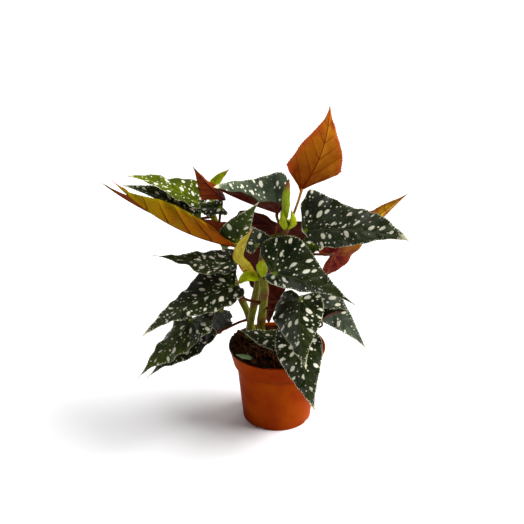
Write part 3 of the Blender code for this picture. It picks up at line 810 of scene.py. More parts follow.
    def coarse_points(self) -> Array:
        """Place the points that the frame's plain leaf is made of, to compare the boxes.

        Returns:
            Points of the plain leaf's upper and under skin, in the frame's axes.
        """
        rows = [(station, 0.0, 0.0, self.rib_thickness) for station in (0.0, *STATIONS[:-1])]
        for share in (0.5, 1.0):
            rows.append((NOTCH * share, 0.0, share, self.cad_thickness * (share < 1)))
        for big in (True, False):
            for station, along, across in self.controls(big)[1:-1]:
                for share in (0.5, 1.0):
                    rows.append((station + (along - station) * share, across * share, share,
                                 self.cad_thickness * (share < 1)))
        rows.append((1.0, 0.0, 0.0, 0.0))
        along, across, share, thickness = np.array(rows).T
        upper = self.surface(along, across, share)
        lower = upper - self.normals(along, across, share) * thickness[:, None]
        return self.placed(np.vstack([upper, lower]))

    def placed(self, points: Array) -> Array:
        """Turn points from the leaf's own axes into the frame's."""
        return self.joint + points @ self.turn

    def columns(self) -> tuple[list[Array], list[Array], int]:
        """Sample both halves' outlines finely enough for their teeth.

        Returns:
            For each half, big first, rows of station, along and across, and for each half the
            tooth height of each row, and how many rows of the end are shared stations.
        """
        seed = np.random.default_rng(name_seed(self.name))
        halves = [self.controls(True), self.controls(False)]
        steps = []
        for rows in halves:
            places = np.linspace(0, len(rows) - 1, 60 * (len(rows) - 1) + 1)
            dense = smooth_curve(rows[:, 1:], places) * (1 - self.angular)
            whole = np.arange(len(rows))
            for axis in (0, 1):
                dense[:, axis] += self.angular * np.interp(places, whole, rows[:, axis + 1])
            corner = np.abs(rows[:, 2]).argmax()
            ear = np.exp(-np.abs(places - corner) / 0.7)[:, None]
            dense += ear * (-self.ears[1], math.copysign(self.ears[0], rows[corner, 2]))
            station = np.interp(places, whole, rows[:, 0])
            length = path_lengths(dense)
            lobe_end = np.interp(len(rows) - 1 - len(STATIONS), places, length)
            steps.append((station, dense, length * self.length, lobe_end * self.length))
        station, _, length, lobe_end = steps[0]
        flank = 3 * max(round((length[-1] - lobe_end) / self.tooth), 4)
        shared = np.interp(np.linspace(lobe_end, length[-1], flank + 1)[1:], length, station)
        result, heights = [], []
        for station, dense, length, lobe_end in steps:
            lobe = 3 * max(round(lobe_end / self.tooth), 3)
            first = np.linspace(0, lobe_end, lobe + 1)
            start = np.searchsorted(length, lobe_end)
            rest = np.interp(shared, station[start:], length[start:])
            at = np.concatenate([first, rest])
            result.append(np.column_stack([
                np.concatenate([np.zeros(lobe + 1), shared]),
                np.interp(at, length, dense[:, 0]), np.interp(at, length, dense[:, 1]),
            ]))
            count = len(at)
            height = np.repeat(seed.uniform(0.35, 1.0, count // 3 + 1), 3)[:count]
            height *= np.tile(TOOTH_STEPS, count // 3 + 1)[:count] * self.tooth_height
            size = np.abs(result[-1][:, 2]) * self.length
            heights.append(height * smooth_step(size, 0.5, 7.0))
        return result, heights, flank

    def vein_fields(self, along: Array, across: Array) -> tuple[Array, Array, Array]:
        """Lay out the veins: side veins off the midrib, and a fan of them in the lobes.

        Args:
            along: Places along the midrib in millimetres.
            across: Places across it in millimetres.

        Returns:
            The vein number, which is whole on a vein, the step between veins in millimetres, and
            the direction of the veins.
        """
        angle = math.radians(self.vein_angle)
        wide = np.abs(across)
        back = along - self.vein_bend * wide**2 / self.length
        foot = back - wide / math.tan(angle)
        reach = np.hypot(back, wide)
        fan = (np.arctan2(wide, back) - angle) / math.radians(self.fan_step)
        step = self.vein_step * self.length
        number = np.where(foot >= 0, foot / step, -fan)
        spread = np.where(foot >= 0, step * math.sin(angle), reach * math.radians(self.fan_step))
        lead = unit(np.stack([back, wide], axis=-1))
        ahead = np.array([math.cos(angle), math.sin(angle)])
        way = np.where((foot >= 0)[..., None], ahead, lead)
        way[..., 1] *= np.where(across < 0, -1.0, 1.0)
        return number, spread, way

    def half_skins(
        self, outline: Array, height: Array, lobe: int, seed: np.random.Generator, shift: Array
    ) -> tuple[Array, Array, Array]:
        """Shape one half: puffed between its veins, rippled, toothed and thin at its margin.

        Args:
            outline: Rows of station, place along and place across on the margin.
            height: Height of the tooth at each row of the outline.
            lobe: How many steps of the outline belong to the lobe.
            seed: Source of the ripples' phases.
            shift: Shift of the spots' cells.

        Returns:
            Points of the upper and of the under skin in the frame's axes, and their map values.
        """
        station, out_along, out_across = (part[None, :] for part in outline.T)
        share = ROWS[:, None]
        along = station + (out_along - station) * share
        across = out_across * share
        level = share * np.ones_like(along)
        base = self.surface(along, across, level)
        normal = self.normals(along, across, level)
        inner = share - 0.05
        outward = unit(base - self.surface(
            station + (out_along - station) * inner, out_across * inner, level))
        along_mm, across_mm = along * self.length, across * self.length
        off_rib = np.abs(across_mm)
        span = np.hypot(out_along - station, out_across) * self.length
        margin = (1 - share) * span
        veins, spread, way = self.vein_fields(along_mm, across_mm)
        for part in (veins, spread, way):
            part[0, :lobe + 1] = part[1, :lobe + 1]
            part[:, -1] = part[:, -2]
        off_vein = np.abs(veins - np.round(veins)) * spread
        puff = (1 - np.exp(-(off_vein / VEIN_DIP) ** 2)) * (1 - np.exp(-(off_rib / VEIN_DIP) ** 2))
        puff = self.quilting * puff * smooth_step(margin, 0.0, 6.0)
        path = path_lengths(outline[:, 1:])[None, :] * self.length
        phases = seed.uniform(0, 6.28, 3)
        curl = sum(np.sin(path / wave + phase) for wave, phase in zip(CRINKLE_LENGTHS, phases))
        curl = self.crinkle * curl / 2 * smooth_step(span, 3.0, 14.0) * share**4
        swell = np.sin(along_mm / SWELL_LENGTHS[0] + phases[0])
        swell = swell * np.sin(across_mm / SWELL_LENGTHS[1] + phases[1])
        swell = self.billow * swell * smooth_step(off_rib, 1.0, 12.0)
        upper = base + normal * (puff + curl + swell)[..., None]
        teeth = height[None, :] * smooth_step(share, TOOTH_FOOT, 1.0)
        upper = upper + outward * teeth[..., None]
        rib = np.exp(-off_rib / 1.2) * (1 - 0.6 * np.clip(along, 0, 1))
        thick = self.thickness + (self.rib_thickness - self.thickness) * rib
        thick = thick * smooth_step(margin, -0.2, 1.6) * (share < 1)
        flat = np.stack([along_mm, across_mm], axis=-1)
        values = np.concatenate([
            flat, flat / self.spot_cell + shift, way, np.stack([veins, spread], axis=-1),
            np.stack([margin * np.ones_like(along), np.clip(along, 0, 1)], axis=-1),
        ], axis=-1)
        return self.placed(upper), self.placed(upper - normal * thick[..., None]), values

    def build(self) -> Object:
        """Make the leaf as one thin body with an upper and an under skin.

        Returns:
            The piece, dressed and riding on the plant.
        """
        seed = np.random.default_rng(7 + name_seed(self.name))
        columns, heights, flank = self.columns()
        rows = len(ROWS)
        points: list[Array] = []
        faces: list[list[int]] = []
        skins: list[int] = []
        corner_values: list[Array] = []
        rib = np.full((flank + 1, 2), -1)
        notch = np.full((rows, 2), -1)
        shift = seed.uniform(0, 50, 2)

        def number(point: Array) -> int:
            """Keep a point and return its number."""
            points.append(point)
            return len(points) - 1

        # The halves share the points of the midrib, the tip and the notch, so they are one body.
        for half, (outline, height) in enumerate(zip(columns, heights)):
            count = len(outline)
            lobe = count - flank - 1
            upper, under, values = self.half_skins(outline, height, lobe, seed, shift)
            if half == 0:
                tip = number(upper[0, -1])
            ids = np.full((2, rows, count), tip)
            for column in range(count - 1):
                station = max(column - lobe, 0)
                if rib[station, 0] < 0:
                    rib[station] = number(upper[0, column]), number(under[0, column])
                ids[:, 0, column] = rib[station]
                for row in range(1, rows):
                    if column == 0 and notch[row, 0] >= 0:
                        ids[:, row, 0] = notch[row]
                        continue
                    top = number(upper[row, column])
                    low = top if row == rows - 1 else number(under[row, column])
                    ids[:, row, column] = top, low
                    if column == 0:
                        notch[row] = ids[:, row, 0]
            left = outline[:, 2].sum() > 0
            for skin in (0, 1):
                for column in range(1, count):
                    for row in range(rows - 1):
                        ring = [(row, column - 1), (row, column), (row + 1, column),
                                (row + 1, column - 1)]
                        if left == (skin == 1):
                            ring.reverse()
                        kept: dict[int, Array] = {}
                        for corner in ring:
                            kept.setdefault(int(ids[(skin, *corner)]), values[corner])
                        if len(kept) > 2:
                            faces.append(list(kept))
                            skins.append(skin)
                            corner_values.extend(kept.values())
        flat_values = np.array(corner_values)
        names = ("blade_mm", "spot_cells", "vein_way", "vein_field", "edge")
        maps = {name: flat_values[:, 2 * place:2 * place + 2] for place, name in enumerate(names)}
        item = mesh_object("leaf_" + self.name, np.array(points), faces, maps)
        item.data.polygons.foreach_set("material_index", skins)
        finish = self.finish or self.age.value
        return settle(item, finish.slot, finish.skins(), "blade_" + self.name)


# Pale grey-green upper colours that stand in for a broad sheen: painted sheen, over a stronger wax
# reflection.
SHEEN_PAINTED = replace(
    Foliage.MATURE.value, name="wax_bloomed_leaf", upper_dark="#283222", upper_light="#56624A",
    upper_vein="#2C3A22", wax=0.6,
)
DEEP_GREEN = replace(
    Foliage.GREEN.value, name="half_grown_leaf", upper_dark="#1A2C04", upper_light="#3A4A06",
    upper_vein="#5A6A14",
)
OLIVE_GREEN = replace(
    Foliage.MATURE.value, name="olive_green_leaf", upper_dark="#121C05", upper_light="#43500F",
    upper_vein="#56622A", wax=0.25,
)
COPPER = replace(
    Foliage.ORANGE.value, name="copper_shoot_leaf", under_base="#8E4002", under_tip="#FFB22C",
    under_edge="#E46E34", through_under=0.6, vein_reach=0.6,
)
OLIVE = replace(
    Foliage.ORANGE.value, name="olive_shoot_leaf", under_base="#9A4002", under_tip="#A08404",
    under_edge="#9C9004", under_vein="#4A1202", vein_reach=0.9,
)
# Magenta at the base turning orange-yellow towards the tip: painted back-light, light coming
# through the tip from behind while the base lies in painted shade.
BACKLIT_PAINTED_LEAF = replace(
    Foliage.ORANGE.value, name="magenta_to_orange_leaf", slot="leaf_red", under_base="#6E1216",
    under_tip="#ECB410", under_edge="#8E3A1A", under_vein="#4A0806", through_under=0.25,
)
WITHERED = replace(
    Foliage.MATURE.value, name="withering_leaf", upper_dark="#0A0B03", upper_light="#231D0C",
    margin="#3A2612", tip="#3A2612", spot="#A8A48C", spot_share=0.5, under_edge="#2A1206",
)


def make_leaves() -> tuple[Leaf, ...]:
    """List every leaf of the plant, measured against the frame.

    Returns:
        The leaves, in the order they are built in.
    """
    return (
        Leaf("top_young", (31, 15, 98), (0.1, 1.0, 0.0), 1, (0.27, 0.28), lobe_lift=20,
             reach=0, forward=(0.3, 0.18), taper=1.1, angular=0.8, ears=(0.02, 0.09), sweep=0.08,
             droop=-8, vein_step=0.19, vein_angle=40, vein_bend=0.8, finish=COPPER),
        Leaf("right_large", (111, -65, 16), (-0.3, -0.4, 0.9), 1, (0.41, 0.17), (8, -20), reach=0.4,
             forward=(0, 0.2), broad=True, droop=20, crinkle=2.2),
        Leaf("centre", (95, -40, -23), (-0.05, -0.6, 0.8), 1, (0.45, 0.14), (2, -50), taper=1.5,
             droop=20),
        Leaf("hanging", (6, -55, -61), (-0.3, -0.7, 0.6), -1, (0.52, 0.34), (-30, -24), lobe_lift=0,
             droop=24, crinkle=2.2),
        Leaf("over_rim", (17, -39, -76), (-0.15, -0.9, 0.4), -1, (0.35, 0.28), (-4, -14),
             lobe_lift=0, droop=30, crinkle=2.6),
        Leaf("on_soil", (-57, 28, -3), (0.0, -0.5, 0.9), 1, (0.28, 0.26), (-9, -15), lobe_lift=0,
             sweep=0.06, droop=13),
        Leaf("left_mid", (-98, -20, 19), (0.1, 0.1, 1.0), 1, (0.4, 0.26), (-4, 14), reach=0.1,
             forward=(0.1, 0), droop=-10),
        Leaf("left_large", (-104, -50, -40), (-0.25, -0.2, 0.95), -1, (0.35, 0.27), (4, -4),
             reach=0.5, crinkle=2.2),
        Leaf("lower_left", (-62, -43, -54), (-0.4, -0.2, 0.9), 1, (0.46, 0.26), (-4, -4), droop=10,
             crinkle=2.2, finish=OLIVE_GREEN),
        Leaf("lower_left_under", (-64, -40, -45), (-0.4, -0.2, 0.9), 1, (0.42, 0.26), (-4, -4),
             reach=0.4, droop=10),
        Leaf("withered", (-20, 4, -51), (-0.3, -0.9, 0.3), -1, (0.45, 0.35), (12, -16), droop=20,
             wave=4, crinkle=4.0, billow=3.0, tooth=8, tooth_height=3.2, finish=WITHERED),
        Leaf("orange_left", (-132, -30, 92), (-0.3, 0.5, 0.8), -1, (0.17, 0.13), (62, 62),
             reach=0.1, forward=(0.4, 0.3), droop=-34, vein_angle=30, crinkle=1.6, quilting=0.45,
             finish=OLIVE),
        Leaf("red_left", (-129, -36, 83), (-0.4, 0.3, 0.8), -1, (0.14, 0.12), (40, 30), droop=-24,
             age=Foliage.RED),
        Leaf("dark_upper_left", (-88, -8, 43), (0.0, -0.4, 0.9), -1, (0.26, 0.22), (14, 10),
             reach=0.1),
        Leaf("young_green", (-78, -8, 36), (0.3, -0.1, 0.9), -1, (0.42, 0.28), (4, 4), reach=0.5,
             sweep=0.05, age=Foliage.GREEN),
        Leaf("red_folded", (-35, -14, 47), (-0.2, 1.0, 0.2), -1, (0.36, 0.22), (6, 100),
             lobe_lift=60, droop=-8, age=Foliage.RED),
        Leaf("top_centre", (-73, -15, 38), (0.1, -0.1, 1.0), -1, (0.52, 0.24), (34, 50),
             lobe_lift=20, reach=0.4, taper=0.6, droop=-16, finish=SHEEN_PAINTED),
        Leaf("maroon_back", (-8, 38, -154), (0.1, 1.0, 0.15), 1, (0.31, 0.28), reach=0.3,
             taper=0.8, droop=10),
        Leaf("dark_back_left", (-43, -12, 5), (0.0, -0.3, 0.9), 1, (0.34, 0.22), (-10, 24),
             reach=0.5, droop=10),
        Leaf("small_green", (25, -10, 53), (-0.3, -1.0, 0.1), 1, (0.38, 0.2), (4, -50), droop=10,
             finish=DEEP_GREEN),
        Leaf("orange_right", (94, 25, 71), (0.0, 1.0, -0.2), 1, (0.21, 0.21), (30, 46), lobe_lift=0,
             sweep=-0.02, droop=-10, finish=BACKLIT_PAINTED_LEAF),
        Leaf("small_olive", (-26, -16, -8), (-0.1, -0.7, 0.7), 1, (0.44, 0.34), droop=10,
             finish=DEEP_GREEN),
        Leaf("grey_right", (65, -20, -65), (-0.1, -0.7, 0.7), 1, (0.24, 0.22), (8, -10), reach=0.8,
             finish=SHEEN_PAINTED),
        Leaf("curled_right", (34, -8, 18), (0.0, -0.2, 1.0), 1, (0.3, 0.26), (40, 40), droop=20),
        Leaf("dark_behind", (-15, -2, 31), (0.1, -0.9, 0.4), -1, (0.5, 0.4), droop=20),
    )


# ---- stems

@dataclass(frozen=True)
class StemFinish:
    """Living begonia stem: a smooth juicy skin with pale breathing pores and scars at its joints.

    The skin is satin and lets a little light in, which softens its shading.
    """

    name: str
    slot: str
    low: str
    high: str
    blush: str
    scar: str = "#5A2410"
    pore: str = "#A99F62"
    pore_share: float = 0.5
    glow: float = 0.1

    @cache
    def material(self) -> Material:
        """Make the stem's skin: streaks along it, a blush near its joints, and pores.

        Returns:
            The skin's material, the same one each time.
        """
        material, add = new_material(self.name + "_skin")
        run = add("UVMap", uv_map="run_mm")
        to_joint = split_map(add, "joint")[0]
        stretched = add("VectorMath", {0: run, 1: (0.12, 0.9, 0.0)}, operation="MULTIPLY")
        streak = add("TexNoise", {"Vector": stretched, "Scale": 1.0, "Detail": 4.0}, **FLAT)
        tone = add("MapRange", {"Value": streak, "From Min": 0.35, "From Max": 0.65})
        near = add_up(add, (streak, 10.0), start=to_joint)
        blush = add("MapRange", {"Value": near, "From Min": 5.0, "From Max": 17.0, "To Min": 0.85,
                                 "To Max": 0.1}, **EASED)
        scar = add("MapRange", {"Value": to_joint, "From Min": 1.1, "From Max": 0.3,
                                "To Max": 0.8}, **EASED)
        # Pores are about 0.4 mm long on the real stem and drawn at twice that so that they show.
        dotted = add("VectorMath", {0: run, 1: (0.45, 0.7, 0.0)}, operation="MULTIPLY")
        cell = add("TexVoronoi", {"Vector": dotted, "Scale": 1.0}, voronoi_dimensions="2D",
                   feature="F1")
        pore = add("MapRange", {"Value": cell, "From Min": 0.24, "From Max": 0.12}, **EASED)
        share = add("Math", {0: pore, 1: self.pore_share}, operation="MULTIPLY")
        colour = paint(add, self.low, (tone, self.high), (blush, self.blush), (scar, self.scar),
                       (share, self.pore))
        rough = add("MapRange", {"Value": streak, "From Min": 0.3, "From Max": 0.7, "To Min": 0.34,
                                 "To Max": 0.5})
        height = add_up(add, (streak, 0.25), (pore, 0.12))
        skin = {"Base Color": colour, "Roughness": rough, "IOR": 1.42, "Specular IOR Level": 0.15}
        return join_skin(material, add, skin, height, colour, self.glow, strength=0.8)


class Bark(Enum):
    """The skins of the plant's stems."""

    CANE = StemFinish("green_cane", "cane", low="#4E5202", high="#7C7C06", blush="#5C2E06")
    STALK = StemFinish("red_leaf_stalk", "stalk", low="#3A1404", high="#5A2A0C", blush="#521406",
                       pore="#8A6438", pore_share=0.3)
    YOUNG_STALK = StemFinish("young_leaf_stalk", "stalk_orange", low="#A8701A", high="#C89238",
                             blush="#A04A10", pore="#D8B468", pore_share=0.3, glow=0.25)


# Where each cane's joints swell, as shares of its length.
CANE_JOINTS = {
    "cane_front": (0.35, 0.72), "cane_left": (0.3, 0.6, 0.85), "cane_right": (0.3, 0.6, 0.92),
}
YOUNG_STALKS = ("stalk_top_young", "stalk_orange_left", "stalk_young_green")
# The swelling at a joint gets rows of its own, this many millimetres from its middle.
SCAR_ROWS = np.array([-0.9, -0.3, 0.3, 0.9])


def end_caps(points: Array, node: str) -> list[set[int]]:
    """Find the flat round ends of a tube in the frame.

    Args:
        points: The node's welded points.
        node: Name of the frame node.

    Returns:
        The point numbers of each end.
    """
    bm = welded(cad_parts[node].data)
    bm.normal_update()
    seen: set[bmesh.types.BMFace] = set()
    caps = []
    for face in bm.faces:
        if face in seen:
            continue
        group, ahead = {face}, [face]
        while ahead:
            for edge in ahead.pop().edges:
                for other in edge.link_faces:
                    if other not in group and other.normal.dot(face.normal) > 0.9999:
                        group.add(other)
                        ahead.append(other)
        seen |= group
        corners = {vert.index for each in group for vert in each.verts}
        place = points[sorted(corners)]
        reach = np.linalg.norm(place - place.mean(axis=0), axis=1)
        if len(corners) >= 6 and reach.std() < 0.04 * reach.mean():
            caps.append(corners)
    bm.free()
    return caps


@dataclass
class Stem:
    """A round stem along the middle of its frame node's rings.

    joints are the places of its swollen joints as shares of its length. sides and step are the
    count of its sides and the spacing of its rings. flare widens its ends over flare_length,
    reach_in carries each end a little into what it grows from, and scar_height is that of the
    ring at a joint.
    """

    node: str
    bark: Bark = Bark.STALK
    joints: tuple[float, ...] = ()
    sides: int = 16
    step: float = 1.3
    flare: float = 0.25
    flare_length: float = 4.0
    reach_in: float = 0.6
    scar_height: float = 0.35

    def rings(self) -> tuple[Array, Array]:
        """Read the node's rings, lowest end first.

        Returns:
            Their middles, one row each, and their radii.
        """
        points, links = node_graph(self.node)
        caps = end_caps(points, self.node)
        start = min(caps, key=lambda cap: points[sorted(cap)][:, 2].mean())
        levels = levels_from(start, links)
        middles = np.array([points[level].mean(axis=0) for level in levels])
        radii = np.array([
            np.linalg.norm(points[level] - middle, axis=1).mean()
            for level, middle in zip(levels, middles)
        ])
        return middles, radii

    def build(self) -> Object:
        """Make the stem.

        Returns:
            The piece, dressed and riding on the plant.
        """
        middles, radii = self.rings()
        places = np.linspace(0, len(middles) - 1, 20 * (len(middles) - 1) + 1)
        dense = smooth_curve(middles, places)
        length = path_lengths(dense)
        whole = length[-1]
        at = np.linspace(0, whole, max(int(whole / self.step), 6) + 1)
        scars = [joint * whole + SCAR_ROWS for joint in self.joints]
        at = np.unique(np.concatenate([at, *scars]))
        spine = np.column_stack([np.interp(at, length, dense[:, axis]) for axis in range(3)])
        radius = np.interp(np.interp(at, length, places), np.arange(len(radii)), radii)
        ahead = unit(np.gradient(spine, axis=0))
        spine[0] -= ahead[0] * self.reach_in
        spine[-1] += ahead[-1] * self.reach_in
        ends = np.minimum(at, whole - at)
        radius = radius * (1 + self.flare * np.exp(-(ends / self.flare_length) ** 2))
        near = np.full(len(at), 60.0)
        for joint in self.joints:
            near = np.minimum(near, np.abs(at - joint * whole))
        radius = radius + self.scar_height * np.exp(-(near / 0.7) ** 2)
        if not self.joints:
            near = ends + 2.5
        points, faces, values = [], [], []
        for row, axes in enumerate(cross_axes(ahead, (0.3, 0.5, 0.8))):
            for turn in turns(self.sides):
                ripple = 1 + 0.03 * math.sin(3 * turn + row * 0.15)
                ripple += 0.02 * math.sin(5 * turn + 1.0)
                points.append(spine[row] + around(axes, turn) * radius[row] * ripple)
        spacing = FULL_TURN * radius.mean() / self.sides
        share = at / whole
        last = len(spine) - 1
        for row in range(last):
            for column in range(self.sides):
                beside = (column + 1) % self.sides
                ring = [(row, column), (row, beside), (row + 1, beside), (row + 1, column)]
                faces.append([line * self.sides + place for line, place in ring])
                for (line, _), step in zip(ring, (0, 1, 1, 0)):
                    values.append((at[line], spacing * (column + step), near[line], share[line]))
        sides = list(range(self.sides))
        for line, ring in ((0, sides[::-1]), (last, [last * self.sides + side for side in sides])):
            faces.append(ring)
            values += [(at[line], 0.0, near[line], share[line])] * self.sides
        maps = {"run_mm": np.array(values)[:, :2], "joint": np.array(values)[:, 2:]}
        item = mesh_object(self.node + "_stem", np.array(points), faces, maps)
        finish = self.bark.value
        return settle(item, finish.slot, [finish.material()], self.node)


# ---- sheaths

@dataclass(frozen=True)
class SheathFinish:
    """Papery begonia sheath: a thin fresh scale with parallel veins that dries from its tip.

    It is thin enough to glow where light comes from behind.
    """

    name: str
    slot: str
    fresh: str
    pale: str
    vein: str
    dried: str
    dried_from: float = 0.85
    through: float = 0.5

    @cache
    def material(self) -> Material:
        """Make the scale's skin: streaked along its veins, and browned towards its tip.

        Returns:
            The skin's material, the same one each time.
        """
        material, add = new_material(self.name + "_sheath")
        place = add("UVMap", uv_map="scale_mm")
        along, across = split_map(add, "share")
        stretched = add("VectorMath", {0: place, 1: (0.06, 0.9, 0.0)}, operation="MULTIPLY")
        streak = add("TexNoise", {"Vector": stretched, "Scale": 1.0, "Detail": 4.0}, **FLAT)
        tone = add("MapRange", {"Value": streak, "From Min": 0.35, "From Max": 0.62})
        wander = add_up(add, (streak, 0.35), start=across)
        ribs = add("Math", {0: wander, 1: 4.5}, operation="MULTIPLY")
        ribs = add("Math", {0: ribs, 1: 0.5}, operation="PINGPONG")
        vein = add("MapRange", {"Value": ribs, "From Min": 0.13, "From Max": 0.03, "To Max": 0.8},
                   **EASED)
        ahead = add_up(add, (streak, 0.3), start=along)
        dry = add("MapRange", {"Value": ahead, "From Min": self.dried_from + 0.1,
                               "From Max": self.dried_from + 0.3}, **EASED)
        colour = paint(add, self.fresh, (tone, self.pale), (vein, self.vein), (dry, self.dried))
        height = add_up(add, (vein, 0.25), (streak, 0.3))
        rough = add("MapRange", {"Value": dry, "To Min": 0.4, "To Max": 0.75})
        skin = {"Base Color": colour, "Roughness": rough, "IOR": 1.42}
        return join_skin(material, add, skin, height, colour, self.through)


class Paper(Enum):
    """The states of sheath on the plant."""

    FRESH = SheathFinish("fresh", "stipule", fresh="#B6C402", pale="#D4DC18", vein="#94A402",
                         dried="#B88A3C")
    BROWNING = SheathFinish("browning", "stipule", fresh="#A0B406", pale="#BECA24", vein="#84960A",
                            dried="#A8643A", dried_from=0.72)
    STRAW = SheathFinish("straw", "stipule_dried", fresh="#C8BE0E", pale="#E6D848", vein="#B0560C",
                         dried="#D8A078", dried_from=0.86)
    FALLEN = SheathFinish("fallen", "stipule", fresh="#6F8A5A", pale="#93A878", vein="#56703F",
                          dried="#8C6A40", dried_from=0.95, through=0.15)


PAPERS = {
    "stipule_top_tall": Paper.BROWNING, "stipule_twisted": Paper.STRAW,
    "stipule_fallen": Paper.FALLEN,
}
# The frame's plain scale has this many rings between foot and tip, of this many points each.
SCALE_RINGS, RING_POINTS = 5, 8


@dataclass
class Sheath:
    """A cupped scale over its frame node's rows of points.

    curl is how far its margins ripple, ripples how long the ripples are, and thickness how thick
    its paper is.
    """

    node: str
    paper: Paper = Paper.FRESH
    rows: int = 46
    columns: int = 12
    curl: float = 0.5
    ripples: Triple = (1.3, 2.4, 4.1)
    thickness: float = 0.35

    def rows_of_points(self) -> tuple[Array, Array, Array]:
        """Read the scale's left margin, middle and right margin from the node.

        Returns:
            One row for each row of the node, from its foot to its tip.
        """
        points, links = node_graph(self.node)
        stems = np.vstack([Stem(name).rings()[0] for name in CANE_JOINTS])
        best: list[list[int]] = []
        nearest = math.inf
        for start in range(len(points)):
            levels = levels_from({start}, links)
            if [len(level) for level in levels[1:]] == [*[RING_POINTS] * SCALE_RINGS, 1]:
                gap = np.linalg.norm(stems - points[start], axis=1).min()
                if gap < nearest:
                    best, nearest = levels, gap
        foot, tip = points[best[0][0]], points[best[-1][0]]
        left, middle, right = [foot], [foot], [foot]
        for level in best[1:-1]:
            ring = points[level]
            gaps = np.linalg.norm(ring[:, None] - ring[None, :], axis=2)
            a, b = np.unravel_index(gaps.argmax(), gaps.shape)
            rest = [place for place in range(len(ring)) if place not in (a, b)]
            pair = ring[a], ring[b]
            straight, crossed = (
                sum(np.linalg.norm(new - old) for new, old in zip(order, (left[-1], right[-1])))
                for order in (pair, pair[::-1])
            )
            if len(left) > 1 and straight > crossed:
                pair = pair[::-1]
            left.append(pair[0])
            right.append(pair[1])
            middle.append(ring[rest].mean(axis=0))
        return np.array([*left, tip]), np.array([*middle, tip]), np.array([*right, tip])

    def build(self) -> Object:
        """Make the scale as one thin body.

        Returns:
            The piece, dressed and riding on the plant.
        """
        seed = np.random.default_rng(name_seed(self.node))
        left, middle, right = self.rows_of_points()
        places = np.linspace(0, len(left) - 1, self.rows + 1)
        left, middle, right = (smooth_curve(side, places) for side in (left, middle, right))
        across = np.linspace(0, 1, self.columns + 1)[None, :, None]
        crest = 2 * middle - (left + right) / 2
        sheet = (left[:, None] * (1 - across) ** 2 + 2 * crest[:, None] * across * (1 - across)
                 + right[:, None] * across**2)
        run = path_lengths(middle)
        wide = np.linalg.norm(right - left, axis=1)
        normal = unit(np.cross(np.gradient(sheet, axis=0), np.gradient(sheet, axis=1)))
        normal = np.nan_to_num(normal)
        phases = seed.uniform(0, 6.28, 3)
        wave = sum(np.sin(run / size + phase) for size, phase in zip(self.ripples, phases)) / 2
        off = np.abs(2 * across[0, :, 0] - 1)[None, :]
        lift = self.curl * wave[:, None] * off**3 * smooth_step(wide, 0.5, 4.0)[:, None]
        sheet = sheet + normal * lift[..., None]
        thick = self.thickness * (1 - off**4) * smooth_step(wide, 0.1, 1.5)[:, None]
        lower = sheet - normal * thick[..., None]
        count = self.columns + 1
        points = np.vstack([sheet.reshape(-1, 3), lower.reshape(-1, 3)])
        share = np.stack(np.broadcast_arrays(run[:, None] / run[-1], across[..., 0]), axis=-1)
        flat = np.stack(
            np.broadcast_arrays(run[:, None], (across[..., 0] - 0.5) * wide[:, None]), axis=-1)
        faces, values = [], []
        for skin in (0, 1):
            for row in range(self.rows):
                for column in range(self.columns):
                    ring = [(row, column), (row + 1, column), (row + 1, column + 1),
                            (row, column + 1)]
                    ring = ring if skin == 0 else ring[::-1]
                    faces.append([skin * (self.rows + 1) * count + line * count + place
                                  for line, place in ring])
                    values += [(*flat[corner], *share[corner]) for corner in ring]
        maps = {"scale_mm": np.array(values)[:, :2], "share": np.array(values)[:, 2:]}
        item = mesh_object(self.node + "_sheath", points, faces, maps)
        bm = welded(item.data)
        bm.to_mesh(item.data)
        bm.free()
        finish = self.paper.value
        return settle(item, finish.slot, [finish.material()], self.node)


# ---- pot

